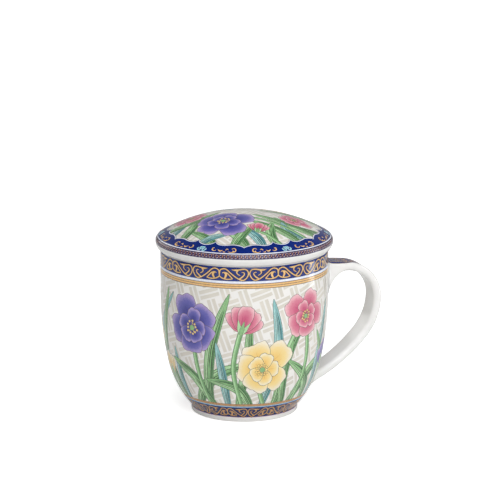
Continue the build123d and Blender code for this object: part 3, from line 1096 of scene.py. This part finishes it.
# %% The lid's border
BORDER_TOP, BORDER_FOOT = 41.0, 44.7
BORDER_STROKES = (
    ([(8.6, 0.3), (7.3, 0.1), (5.9, 0.32), (5.9, 0.68), (7.0, 0.82), (7.7, 0.6)], (0.3, 0.6, 0.6)),
    ([(7.0, 0.84), (9.0, 0.94), (10.9, 0.78)], (0.6, 0.42, 0.12)),
    ([(10.9, 0.45), (11.9, 0.28), (12.8, 0.52)], (0.2, 0.65, 0.3)),
    ([(12.8, 0.85), (13.7, 0.92), (14.3, 0.72)], (0.55, 0.5, 0.2)),
    ([(15.0, 0.55), (16.4, 0.74), (18.2, 0.45)], (0.3, 0.85, 0.2)),
    ([(19.4, 0.55), (20.5, 0.76), (22.2, 0.55), (22.0, 0.22), (21.1, 0.22)], (0.25, 0.58, 0.45)),
)
ROSETTE_STROKES = (
    ([(30.0, 0.1), (30.0, 0.35), (30.0, 0.6)], (0.3, 0.85, 0.35)),
    ([(29.6, 0.72), (28.7, 0.55), (28.5, 0.25), (29.2, 0.2)], (0.4, 0.45, 0.3)),
    ([(29.5, 0.86), (27.9, 0.9), (26.9, 0.62), (27.4, 0.4)], (0.4, 0.5, 0.25)),
)


def border_print(strokes, paint, grow=0.0):
    """Strokes of the lid's border in all its units, mirrored: angle from the gap and share of the height."""
    prints = []
    height = BORDER_FOOT - BORDER_TOP
    for points, widths in strokes:
        for middle in spread(0, 360, SCALLOPS)[:-1]:
            for side in (-1, 1):
                line = [polar(BORDER_TOP + height * share, middle + side * angle) for angle, share in points]
                prints.append(shape(ribbon(smooth_line(line, 4), pen(*(w + grow for w in widths))), paint))
    return prints


border = border_print(BORDER_STROKES, "gold_edge", 0.22) + border_print(BORDER_STROKES, "gold")
border += border_print(ROSETTE_STROKES, "hairline", 0.25) + border_print(ROSETTE_STROKES, "turquoise")
DIAPERS = 150
for at in spread(0, 360, DIAPERS)[:-1]:
    for points, paint in (
        ([(0.2, 46.2), (0.8, 46.6), (0.5, 47.1), (1.1, 47.7)], "old_gold"),
        ([(1.3, 46.1), (1.7, 46.6), (2.1, 46.2)], "flint"),
        ([(1.6, 48.0), (1.9, 47.4), (2.4, 47.8)], "flint"),
    ):
        line = smooth_line([polar(length, at + degrees) for degrees, length in points], 2)
        border.append(shape(ribbon(line, pen(0.16, 0.28, 0.12)), paint))
print("lid border:", len(border), "prints")

# %% The lid's flowers
LID_BLADES = (
    ((40, 100), (26, 104), (8, 130), 5.0, GREENS),
    ((40, 74), (30, 62), (16, 66), 5.2, GREENS),
    ((40, 66), (26, 58), (6, 40), 5.6, GREENS),
    ((40, 50), (30, 46), (22, 58), 4.6, TEALS),
    ((40, 44), (28, 38), (14, 8), 5.6, GREENS),
    ((40, 24), (30, 26), (20, 44), 5.2, GREENS),
    ((40, 14), (31, 10), (20, -10), 5.4, TEALS),
    ((40, 2), (32, -6), (24, -30), 5.2, GREENS),
    ((40, -8), (30, -2), (20, 16), 5.0, GREENS),
    ((40, -22), (35, -34), (33, -56), 4.8, GREENS),
    ((40, -34), (34, -28), (30, -14), 4.6, TEALS),
    ((40, -52), (30, -60), (22, -84), 5.4, GREENS),
    ((40, -66), (32, -76), (28, -100), 4.8, TEALS),
    ((40, -78), (28, -76), (12, -104), 5.4, GREENS),
    ((40, -108), (30, -98), (18, -80), 5.2, GREENS),
    ((40, -122), (30, -130), (24, -156), 5.0, GREENS),
    ((40, -134), (28, -134), (10, -150), 5.2, TEALS),
    ((40, 172), (30, 162), (16, 150), 5.4, GREENS),
    ((40, 158), (34, 146), (31, 122), 4.8, GREENS),
    ((40, 136), (30, 140), (22, 168), 5.0, TEALS),
)
LID_STEMS = (
    ((40, 54), (24, 48), (9, 10)),
    ((40, -100), (32, -96), (26, -92)),
    ((40, 28), (31, 22), (26, 12)),
)
LID_HEADS = (
    (blossom, (17, -38), 14.5, "violet", FRONT + 0.5),
    (blossom, (27, -96), 9.5, "rose", FRONT - 2.2),
    (blossom, (24, 148), 12.0, "yellow", FRONT + 2.0),
    (blossom, (25, 82), 8.5, "rose", FRONT + 1.2),
    (cup, (27, 14), 9.5, FRONT + 3.0, "rose", 0.55),
)
lid_flowers = garden(LID_BLADES, 50, LID_STEMS, 2.0, LID_HEADS, 21, polar)
print("lid flowers:", len(lid_flowers), "prints")

# %% The lid's printed sheet
LID_RINGS, EDGE_RINGS = 34, 11
lid_prints = []
for outline, paint in (
    ((lid_reach + 3,), "white"),
    ((DIAPER_TO,), "speckle"),
    ((HAIRLINE[1] + 0.12,), "night"),
    ((HAIRLINE[1],), "hairline"),
    ((HAIRLINE[0],), "lid_cobalt"),
    ((scallop, 0.28), "hairline"),
    ((scallop, -0.22), "ink"),
    ((scallop, -0.5), "lid_weave"),
):
    lid_prints.append(shape(edge_line(*outline), paint))
lid_prints += lid_flowers
lid_prints += annulus((scallop, -0.5), (scallop, -0.22), "ink")
lid_prints += annulus((scallop, -0.22), (scallop, 0.28), "hairline")
lid_prints += annulus((scallop, 0.28), (HAIRLINE[0], 0.0), "lid_cobalt")
lid_prints += border

lid_dots = [(0.0, 0.0)]
for ring in range(1, LID_RINGS):
    lid_dots += disc((0, 0), lid_reach * ring / LID_RINGS, max(6, int(COLUMNS * ring / LID_RINGS)))
for radius in spread(dome_length, lid_reach, EDGE_RINGS)[1:-1]:
    lid_dots += disc((0, 0), radius, COLUMNS)
lid_sheet = inlay(disc((0, 0), lid_reach, COLUMNS), lid_prints, lid_dots, "white", on_lid, map_of_lid)
print("lid sheet:", len(lid_sheet.faces), "faces")

# %% [markdown]
# ## Under the lid
# Below the edge the lid has a flat seat, a groove and a ring that drops into the infuser, and a ceiling
# that follows the dome. None of it is printed. The seat's rounded corner continues the printed sheet.

# %% The lid's underside
LID_WALL = 3.4
SEAT_WIDTH = 3.9
GROOVE_HEIGHT = 3.0
RING_WALL = 2.6
RING_ROUND = 0.9
RING_CLEARANCE = 0.8
COLLAR_CLEARANCE = 1.0
SHEET = 0.5
ring_foot = lid_low.z / MM
ring_outside = rim_radius - WALL - COLLAR_CLEARANCE - SHEET - RING_CLEARANCE
ring_inside = ring_outside - RING_WALL
seat_outside = lid_radius - LID_TUCK
seat_inside = seat_outside - SEAT_WIDTH
ceiling_radius = dome_radius - LID_WALL
ceiling_turn = math.degrees(math.acos(ring_inside / ceiling_radius))
ceiling_z = dome_z + ceiling_radius * math.sin(math.radians(ceiling_turn))
slant = Vector((GROOVE_HEIGHT, seat_inside - ring_outside)).normalized()
under = [lid_profile(lid_reach)]  # small steps keep the corners of the groove and the ceiling soft
under += arc((seat_outside - LID_EDGE_ROUND, lid_seat + LID_EDGE_ROUND), LID_EDGE_ROUND, -15, -90, 5)
under += [
    (seat_inside, lid_seat, 0.0, -1.0),
    (seat_inside - 0.15, lid_seat + 0.1, -slant.x, -slant.y),
    (ring_outside + 0.15, lid_seat + GROOVE_HEIGHT - 0.2, -slant.x, -slant.y),
    (ring_outside, lid_seat + GROOVE_HEIGHT - 0.5, 1.0, 0.0),
]
under += arc((ring_outside - RING_ROUND, ring_foot + RING_ROUND), RING_ROUND, 0, -90, 5)
under += arc((ring_inside + RING_ROUND, ring_foot + RING_ROUND), RING_ROUND, -90, -180, 5)
under += [(ring_inside, ceiling_z - 0.5, -1.0, 0.0)]
under += arc((0.0, dome_z), ceiling_radius, ceiling_turn + 0.4, 90, 24, -1)
under_patch = turned(under, "white", COLUMNS, map_of_underside)
lid_piece = make_piece("printed_lid", [lid_sheet, under_patch], paints, lid_map)
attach(lid_piece, "lid")
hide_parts("lid")

# %% [markdown]
# ## The handle
# The strap is cast by itself. Slip lutes both its ends to the wall before firing, and leaves a soft fillet.
# Its side view is the CAD strap: an arm, a shoulder, a grip and a long tail, with a web under the arm.
# Sections across the strap run from its outer line to its inner line, and every point close to the wall is
# pushed out a little, as slip gathers there.

# %% The strap's two side lines
handle_low, handle_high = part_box("mug_handle")
STRAP_THICKNESS = 4.15
HANDLE_BELOW_RIM = 10.9
ARM_SLOPE = math.radians(5.0)
ARM_SINK = 6.0
SHOULDER_RADIUS = 17.0
SHOULDER_TURN = math.radians(88.0)
GRIP_RADIUS = 30.0
GRIP_TURN = math.radians(39.0)
TAIL_HEIGHT = 10.6
TAIL_SINK = 5.6
WEB_HEIGHT = 25.0
WEB_SINK = 2.0
ROOT_SINK = 1.2
ARM_STEPS, SHOULDER_STEPS, GRIP_STEPS, TAIL_STEPS = 16, 34, 24, 40
strap_width = (handle_high.y - handle_low.y) / MM
handle_reach = handle_high.x / MM - STRAP_THICKNESS / 2


def square_to(heading):
    """The unit vector to the left of a heading."""
    return Vector((-math.sin(heading), math.cos(heading)))


def follow(start, heading, radius, turn, steps):
    """Points and headings along an arc that bends to the right."""
    centre = start - square_to(heading) * radius
    return [(centre + square_to(h) * radius, h) for h in spread(heading, heading - turn, steps)[1:]]


arm_z = mug_height - HANDLE_BELOW_RIM
arm_end = handle_reach - SHOULDER_RADIUS * (1 - math.sin(ARM_SLOPE))
route = []
for x in spread(rim_radius - ROOT_SINK, arm_end, ARM_STEPS):
    route.append((Vector((x, arm_z - (x - rim_radius + ARM_SINK) * math.tan(ARM_SLOPE))), -ARM_SLOPE))
route += follow(*route[-1], SHOULDER_RADIUS, SHOULDER_TURN, SHOULDER_STEPS)
route += follow(*route[-1], GRIP_RADIUS, GRIP_TURN, GRIP_STEPS)
start, heading = route[-1]
chord = Vector((wall_radius(TAIL_HEIGHT) - TAIL_SINK, TAIL_HEIGHT)) - start
bend = 2 * (math.atan2(chord.y, chord.x) - heading)
route += follow(start, heading, chord.length / (2 * math.sin(-bend / 2)), -bend, TAIL_STEPS)
while route[-1][0].x < wall_radius(route[-1][0].y) - ROOT_SINK - 1.0:
    route.pop()

outer_line = [p + square_to(h) * STRAP_THICKNESS / 2 for p, h in route]
inner_line = [p - square_to(h) * STRAP_THICKNESS / 2 for p, h in route]
web_top = inner_line[ARM_STEPS]
web_low = web_top.y - WEB_HEIGHT
web_foot = Vector((wall_radius(web_low) - WEB_SINK, web_low))
pull = (web_top - web_foot).length
arm_way = Vector((math.cos(ARM_SLOPE), -math.sin(ARM_SLOPE)))
for k in range(ARM_STEPS):
    t = k / ARM_STEPS
    ends = web_foot * (1 - t) ** 2 * (1 + 2 * t) + web_top * t * t * (3 - 2 * t)
    inner_line[k] = ends + Vector((0, 1)) * t * (1 - t) ** 2 * pull - arm_way * t * t * (1 - t) * pull
print("strap:", len(route), "sections, tail leaves the wall at", [round(v, 1) for v in route[-1][0]])

# %% The strap's section
STRAP_EDGE = 1.9
SHEET_SIDE = 15.0
round_length = math.pi / 2 * STRAP_EDGE
FACE = strap_width / 2 - STRAP_EDGE + round_length  # from the middle of the outer face to where its edge ends


def section_point(depth, u):
    """A rounded section's outline. u is in millimetres on the outer face, and a share of the rest beyond."""
    half_face, side = strap_width / 2 - STRAP_EDGE, depth - 2 * STRAP_EDGE
    half_round = 2 * half_face + side + 2 * round_length
    walk = abs(u) if abs(u) < FACE else FACE + (abs(u) - FACE) / (SHEET_SIDE - FACE) * (half_round - FACE)
    sign = 1 if u >= 0 else -1
    if walk < half_face:
        y, d, ny, nd = walk, 0.0, 0.0, -1.0
    elif walk < half_face + round_length:
        a = (walk - half_face) / STRAP_EDGE
        y, d = half_face + STRAP_EDGE * math.sin(a), STRAP_EDGE * (1 - math.cos(a))
        ny, nd = math.sin(a), -math.cos(a)
    elif walk < half_face + round_length + side:
        y, d, ny, nd = strap_width / 2, STRAP_EDGE + walk - half_face - round_length, 1.0, 0.0
    elif walk < half_face + 2 * round_length + side:
        a = (walk - half_face - round_length - side) / STRAP_EDGE
        y, d = half_face + STRAP_EDGE * math.cos(a), depth - STRAP_EDGE + STRAP_EDGE * math.sin(a)
        ny, nd = math.cos(a), math.sin(a)
    else:
        y, d, ny, nd = half_round - walk, depth, 0.0, 1.0
    return sign * y, d, sign * ny, nd


print("strap:", round(strap_width, 1), "mm wide,", STRAP_THICKNESS, "mm thick")

# %% The strap's skin and its slip fillets
SLIP_REACH = 4.0  # from the wall to where the fillet begins
SLIP_SPREAD = 1.9  # how far the fillet spreads at the wall
SLIP_SINK = -0.5  # the spread stays the same further behind the wall than this
SLIP_CURVE = 2.2
WALL_SHARE = 0.85  # of the wall's normal in the fillet's, where the two meet
AROUND = 48
ALONG = 150
lengths = [0.0]
for a, b in zip(outer_line, outer_line[1:]):
    lengths.append(lengths[-1] + (b - a).length)


def on_strap(u, v):
    """The strap's skin: u runs round the section from the middle of its outer face, v along the strap."""
    k = min(max(np.searchsorted(lengths, v) - 1, 0), len(lengths) - 2)
    t = (v - lengths[k]) / (lengths[k + 1] - lengths[k])
    outside = outer_line[k].lerp(outer_line[k + 1], t)
    down = inner_line[k].lerp(inner_line[k + 1], t) - outside
    y, d, ny, nd = section_point(down.length, u)
    down.normalize()
    at = outside + down * d
    normal = down * nd
    clear = math.hypot(at.x, y) - wall_radius(at.y)
    if clear >= SLIP_REACH:
        return (at.x, y, at.y), (normal.x, ny, normal.y)
    facing = (normal.x * at.x + ny * y) / math.hypot(at.x, y)
    bulge = SLIP_SPREAD * (1 - max(clear, SLIP_SINK) / SLIP_REACH) ** SLIP_CURVE * (1 - max(facing, 0.0))
    at += normal * bulge
    y += ny * bulge
    wall = Vector(on_mug(math.atan2(y, at.x) * rim_radius, at.y)[1])
    share = WALL_SHARE * min(1.0, (1 - max(clear - bulge, 0.0) / SLIP_REACH)) ** 2
    return (at.x, y, at.y), tuple(Vector((normal.x, ny, normal.y)).lerp(wall, share).normalized())


print("strap's length:", round(lengths[-1], 1), "mm")

# %% The strap's print
tongue = [(-6.4, 0.5), (-6.4, 8.0), (-5.6, 13.0), (-3.0, 18.5), (0.0, 25.0)]
tongue = smooth_line(tongue + [(-x, y) for x, y in tongue[-2::-1]], 5)
strap_prints = [
    shape(moved(tongue, (0, 0.3), (1.04, 1.0)), "gold_edge"),
    shape(moved(tongue, (0, -0.1), (0.98, 0.99)), "lid_cobalt"),
]
for side in (-1, 1):
    for points, widths in (
        ([(0.3, 2.0), (2.6, 3.0), (4.2, 5.4), (3.0, 7.4), (1.6, 6.2)], (0.7, 0.8, 0.5)),
        ([(0.2, 9.6), (1.8, 8.6), (4.0, 8.8), (4.6, 11.0), (3.2, 12.4), (2.2, 11.2)], (0.9, 1.0, 0.5)),
        ([(0.2, 10.8), (1.2, 12.6), (2.8, 14.0), (2.4, 15.8), (1.2, 15.6)], (0.9, 0.9, 0.3)),
        ([(0.0, 15.4), (0.9, 17.8), (0.0, 21.4)], (0.5, 0.8, 0.2)),
    ):
        line = smooth_line([(side * x, y) for x, y in points], 4)
        strap_prints.append(shape(ribbon(line, pen(*widths)), "old_gold"))
round_columns = spread(-SHEET_SIDE, SHEET_SIDE, AROUND)
strap_border, strap_dots = grid(round_columns, spread(0.0, lengths[-1], ALONG))
strap = [inlay(strap_border, strap_prints, strap_dots, "white", on_strap, lambda at, middle: at)]
for v in (0.0, lengths[-1]):  # both ends, inside the wall, are closed with a fan of faces
    loop = [on_strap(u, v)[0] for u in round_columns[:-1]]
    fan = [[AROUND, k, (k + 1) % AROUND] for k in range(AROUND)]
    hub = tuple(np.mean(loop, axis=0))
    into_wall = [(-1.0, 0.0, 0.0)] * (AROUND + 1)
    strap.append(Patch(loop + [hub], into_wall, fan, ["white"] * AROUND, [(0, 0, 0, 0)] * (3 * AROUND)))
handle = make_piece("strap_handle", strap, paints)
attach(handle, "mug")
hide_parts("mug_handle")

# %% [markdown]
# ## Steel
# The infuser is stainless steel, drawn from thin sheet and polished. Metal's colour comes from what it
# mirrors, so it is Metallic 1 with a pale grey base. Fine rings left by the lathe run round it, about
# 0.4 mm apart, and dull the polish a little along their length.

# %% The steel materials
RING_MM = 0.4


def steel(name, roughness):
    """Sheet steel with rings in its polish. They follow the distance from the axis, and the height."""

    def recipe(tree, place):
        x, y, z = node(tree, "SeparateXYZ", {0: place})
        radius = ("SQRT", ("ADD", ("POWER", x, 2.0), ("POWER", y, 2.0)))
        rings = {0: ("DIVIDE", radius, RING_MM * MM), 2: ("DIVIDE", z, RING_MM * MM)}
        rings = node(tree, "CombineXYZ", rings)[0]
        grain = node(tree, "TexNoise", {"Vector": rings, "Scale": 1.0, "Detail": 3.0})[0]
        tones = {0: grain, 6: colour("D0D0CE"), 7: colour("E0E0DE")}
        return {
            "Base Color": node(tree, "Mix", tones, data_type="RGBA")[2],
            "Metallic": 1.0,
            "Roughness": node(tree, "MapRange", {0: grain, 3: roughness * 0.75, 4: roughness * 1.3})[0],
            "Normal": node(tree, "Bump", {"Strength": 0.15, "Distance": 0.02 * MM, "Height": grain})[0],
        }

    return surface(name, recipe)


drawn_steel = steel("drawn_stainless_sheet", 0.36)
foil_steel = steel("etched_stainless_foil", 0.42)
for name in ("infuser_rim", "infuser_base_hoop"):
    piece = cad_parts[name]
    piece.data.materials.clear()
    piece.data.materials.append(drawn_steel)
print("drawn steel on the infuser's rim and hoop")

# %% [markdown]
# ## Perforated foil
# The sleeve and the base are foil with round holes etched in staggered rows. The holes are real openings
# here: each sits in its own hexagonal cell, whose rim and hole edge are joined by a ring of faces, on
# both sides of the foil. Real holes are about 0.5 mm wide. These are wider and fewer, to keep the mesh light.

# %% Foil with holes
HOLE_RADIUS = 0.55  # drawn coarser: real ones are about 0.25
HOLE_SIDES = 8
FOIL = 0.4
PITCH = 2.1
WELD_MM = 0.02


def add_foil(sheet, place, flat, polygons, edges):
    """Adds flat polygons on both sides of the foil, and closes its thickness along the given edges.

    sheet holds the foil's points and faces so far. place turns (u, v, depth) into a point.
    """
    points, faces = sheet
    start, layer = len(points), len(flat)
    for depth in (0.0, FOIL):
        points += [place(x, y, depth) for x, y in flat]
    for polygon in polygons:
        faces.append([start + i for i in polygon])
        faces.append([start + layer + i for i in polygon])
    for a, b in edges:
        faces.append([start + a, start + b, start + layer + b, start + layer + a])


def add_cell(sheet, place, at, width):
    """Adds a hexagonal cell of the foil, standing on a point, with its hole."""
    loops = disc(at, width / math.sqrt(3), 6, 0.5), disc(at, HOLE_RADIUS, HOLE_SIDES, 0.5)
    bearings = []
    for side, loop in enumerate(loops):
        bearings += [(math.atan2(y - at[1], x - at[0]), side, i) for i, (x, y) in enumerate(loop)]
    bearings.sort()
    last = [max(b for b in bearings if b[1] == side)[2] for side in (0, 1)]
    ring = []
    for _, side, i in bearings:
        ring.append([last[0], i + 6 * side, last[1] + 6])
        last[side] = i
    hole = [(6 + k, 6 + (k + 1) % HOLE_SIDES) for k in range(HOLE_SIDES)]
    add_foil(sheet, place, loops[0] + loops[1], ring, hole)


def weld(name, sheet, body, node_name):
    """Makes the piece, joins its cells' shared points, turns all faces outwards and sets it on its body."""
    points, faces = sheet
    mesh = bpy.data.meshes.new(name)
    mesh.from_pydata([tuple(c * MM for c in p) for p in points], [], faces)
    work = bmesh.new()
    work.from_mesh(mesh)
    bmesh.ops.remove_doubles(work, verts=work.verts, dist=WELD_MM * MM)
    bmesh.ops.recalc_face_normals(work, faces=work.faces)
    work.to_mesh(mesh)
    work.free()
    mesh.materials.append(foil_steel)
    print(name, len(mesh.vertices), "vertices,", len(mesh.polygons), "faces")
    piece = put(name, mesh)
    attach(piece, body)
    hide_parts(node_name)


print("foil:", round(100 * math.pi * HOLE_RADIUS**2 / (PITCH**2 * math.sqrt(3) / 2)), "% open")

# %% The perforated sleeve
sleeve_low, sleeve_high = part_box("infuser_sleeve")
sleeve_radius = sleeve_high.x / MM
sleeve_from, sleeve_to = sleeve_low.z / MM, sleeve_high.z / MM
PLAIN_EDGE = 3.6
around = 2 * round(math.tau * sleeve_radius / PITCH / 2)
cell_width = math.tau * sleeve_radius / around
cell_height = cell_width * math.sqrt(3) / 2
cell_rows = int((sleeve_to - sleeve_from - 2 * PLAIN_EDGE) / cell_height)
first_row = sleeve_from + ((sleeve_to - sleeve_from) - cell_rows * cell_height) / 2


def on_sleeve(u, v, depth):
    angle = u / sleeve_radius
    r = sleeve_radius - depth
    return (r * math.cos(angle), r * math.sin(angle), v)


def sleeve_place(row, column):
    return cell_width * (column + 0.5 * (row % 2)), first_row + cell_height * (row + 0.5)


sleeve = ([], [])
for row in range(cell_rows):
    for column in range(around):
        add_cell(sleeve, on_sleeve, sleeve_place(row, column), cell_width)
for row, edge, sign in ((0, sleeve_from, -1), (cell_rows - 1, sleeve_to, 1)):  # plain bands beyond the holes
    for column in range(around):
        u, v = sleeve_place(row, column)
        tip = sign * cell_width / math.sqrt(3)
        jags = (u - cell_width / 2, v + tip / 2), (u, v + tip), (u + cell_width / 2, v + tip / 2)
        for left, right in zip(jags, jags[1:]):
            quad = [left, right, (right[0], edge), (left[0], edge)]
            add_foil(sleeve, on_sleeve, quad, [[0, 1, 2, 3]], [(3, 2)])
weld("perforated_sleeve", sleeve, "infuser", "infuser_sleeve")

# %% The perforated base
base_low, base_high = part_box("infuser_base")
base_radius = base_high.x / MM
BASE_SIDES = 96
HOLES_WITHIN = base_radius - 3.4
reach = int(base_radius / PITCH) + 2


def on_base(u, v, depth):
    return (u, v, base_low.z / MM + FOIL - depth)


base = ([], [])
plate, loops = disc((0, 0), base_radius, BASE_SIDES), [list(range(BASE_SIDES))]
for row in range(-reach, reach + 1):
    for column in range(-reach, reach + 1):
        at = (PITCH * (column + 0.5 * (row % 2)), PITCH * math.sqrt(3) / 2 * row)
        if math.hypot(*at) < HOLES_WITHIN - PITCH / 2:
            add_cell(base, on_base, at, PITCH)
            loops.append(list(range(len(plate), len(plate) + 6)))
            plate += disc(at, PITCH / math.sqrt(3), 6, 0.5)
print("base:", len(loops) - 1, "holes")
plate, triangles = triangulated(plate, loops)
rim_plate = [corners for corners, over in triangles if over == [0]]
add_foil(base, on_base, plate, rim_plate, [(k, (k + 1) % BASE_SIDES) for k in range(BASE_SIDES)])
weld("perforated_base", base, "infuser", "infuser_base")

# %% [markdown]
# ## Camera, floor and light
# A long lens from a little above, as for a catalogue. The floor is a plain pale sheet that runs out of
# sight. Broad softboxes in front, above, at the right and behind light the porcelain evenly, and the white
# surroundings do the rest. Beyond the lamps' reach the floor fades to the backdrop's white.

# %% Camera
VIEW_TURN = math.radians(-18.8)
VIEW_ABOVE = math.radians(14.28)
LOOK_DOWN = math.radians(12.82)
LOOK_ASIDE = math.radians(0.12)
DISTANCE = 1400.0
TARGET = Vector((0, 0, 45.0))
FOCAL_PIXELS = 2786.0
FRAME_PIXELS = 500.0


def towards(bearing, above=0.0):
    """The unit vector at a bearing, to the right of the handle's own right, and an angle above the level."""
    flat = math.cos(above)
    return Vector((math.sin(bearing) * flat, -math.cos(bearing) * flat, math.sin(above)))


def aim(made, place, forward):
    """Puts a camera or lamp at a place, looking along forward."""
    made.location = place
    made.rotation_mode = "QUATERNION"
    made.rotation_quaternion = forward.to_track_quat("-Z", "Y")


camera_data = bpy.data.cameras.new("camera")
camera = put("camera", camera_data)
place = (TARGET + towards(VIEW_TURN, VIEW_ABOVE) * DISTANCE) * MM
aim(camera, place, -towards(VIEW_TURN - LOOK_ASIDE, LOOK_DOWN))
camera_data.sensor_width = 36.0
camera_data.lens = FOCAL_PIXELS / FRAME_PIXELS * camera_data.sensor_width
camera_data.clip_start, camera_data.clip_end = 0.05, 30.0
bpy.context.scene.camera = camera
bpy.context.scene.view_settings.view_transform = "Standard"
print("camera:", round(camera_data.lens), "mm lens, at", [round(v, 2) for v in camera.location])

# %% Floor
FLOOR_HALF = 3.0
FLOOR_GLOW = 0.7  # what the eye sees above the floor's own light, so that it reads as white
LIT_REACH, FAR_REACH = 0.35, 1.1  # beyond the lamps' reach the floor's glow rises to the backdrop's white
MIRRORED_GLOW = 0.2  # the same in the glaze and the steel


def paper(tree, place):
    """Matt white paper with a glow of its own for the eye, and a weaker one for what mirrors it."""
    ray = node(tree, "LightPath")
    away = node(tree, "VectorMath", {0: place}, operation="LENGTH")["Value"]
    seen = node(tree, "MapRange", {0: away, 1: LIT_REACH, 2: FAR_REACH, 3: FLOOR_GLOW, 4: 1.0})[0]
    mirrored = ("MULTIPLY", ("MAXIMUM", ray["Is Glossy Ray"], ray["Is Transmission Ray"]), MIRRORED_GLOW)
    return {
        "Base Color": colour("F4F4F4"),
        "Roughness": 0.9,
        "Specular IOR Level": 0.1,
        "Emission Color": colour("FFFFFF"),
        "Emission Strength": ("ADD", ("MULTIPLY", ray["Is Camera Ray"], seen), mirrored),
    }


floor_mesh = bpy.data.meshes.new("floor")
corners = rectangle(-FLOOR_HALF, -FLOOR_HALF, FLOOR_HALF, FLOOR_HALF)
floor_mesh.from_pydata([(x, y, 0.0) for x, y in corners], [], [[0, 1, 2, 3]])
floor_mesh.materials.append(surface("white_paper_floor", paper))
floor = put("floor", floor_mesh)
print("floor:", 2 * FLOOR_HALF, "m square")

# %% Surroundings
ROOM_GLOW = 0.1  # the unlit room above the table
BACKDROP_GLOW = 0.35  # the white backdrop, as the glaze and the steel mirror it
HORIZON, OVERHEAD = 0.25, 0.8  # the white backdrop fades into the room between these heights of a ray
world = bpy.data.worlds.new("white_surroundings")
bpy.context.scene.world = world
world.use_nodes = True
tree = world.node_tree
ray = node(tree, "LightPath")
height = node(tree, "SeparateXYZ", {0: node(tree, "TexCoord")["Generated"]})["Z"]
backdrop = node(tree, "MapRange", {0: height, 1: HORIZON, 2: OVERHEAD, 3: BACKDROP_GLOW, 4: ROOM_GLOW})[0]
mirrored = ("MAXIMUM", ray["Is Glossy Ray"], ray["Is Transmission Ray"])
unseen = node(tree, "Mix", {0: mirrored, 2: ROOM_GLOW, 3: backdrop})[0]
strength = node(tree, "Mix", {0: ray["Is Camera Ray"], 2: unseen, 3: 1.0})[0]
feed(tree, tree.nodes["Background"], {"Color": (1, 1, 1, 1), "Strength": strength})
print("mirrored surroundings:", BACKDROP_GLOW, "at the horizon,", ROOM_GLOW, "overhead")

# %% Softboxes
def lamp(name, size, power, place, away):
    """A rectangular lamp that no camera sees, at a place, shining back along away."""
    data = bpy.data.lights.new(name, "AREA")
    data.shape = "RECTANGLE"
    data.size, data.size_y = size
    data.energy = power
    made = put(name, data)
    made.visible_camera = False
    aim(made, place, -away)


for name, bearing, above, distance, size, power in (  # bearing and height in degrees, seen from the camera
    ("side_box", 100, 15, 1.0, (0.34, 0.9), 1.6),
    ("top_box", 16, 64, 1.2, (1.1, 1.1), 9.9),
    ("back_box", 232, 20, 1.5, (1.0, 0.8), 2.6),
    ("front_box", 14, 24, 1.5, (1.0, 1.0), 8.1),
):
    away = towards(math.radians(bearing) + VIEW_TURN, math.radians(above))
    lamp(name, size, power, TARGET * MM + away * distance, away)
    print(name, "at", [round(v, 2) for v in TARGET * MM + away * distance])

# %% [markdown]
# The glaze is a mirror too. Seen from a little above, an upright wall mirrors the table, so only a light
# that stands on the table shows in it. A small upright card of light at the right draws the streak on it.

# %% The light card
STREAK_BEARING = math.radians(52.8)  # where the streak lies on the wall, to the right of its front
CARD_DISTANCE = 0.2
CARD_SIZE = (0.05, 0.024)
CARD_HEIGHT = 0.032
CARD_POWER = 0.014
away = towards(VIEW_TURN + 2 * STREAK_BEARING)
place = towards(VIEW_TURN + STREAK_BEARING) * rim_radius * MM + away * CARD_DISTANCE
place.z = CARD_HEIGHT
lamp("light_card", CARD_SIZE, CARD_POWER, place, away)
print("light card at", [round(v, 3) for v in place])
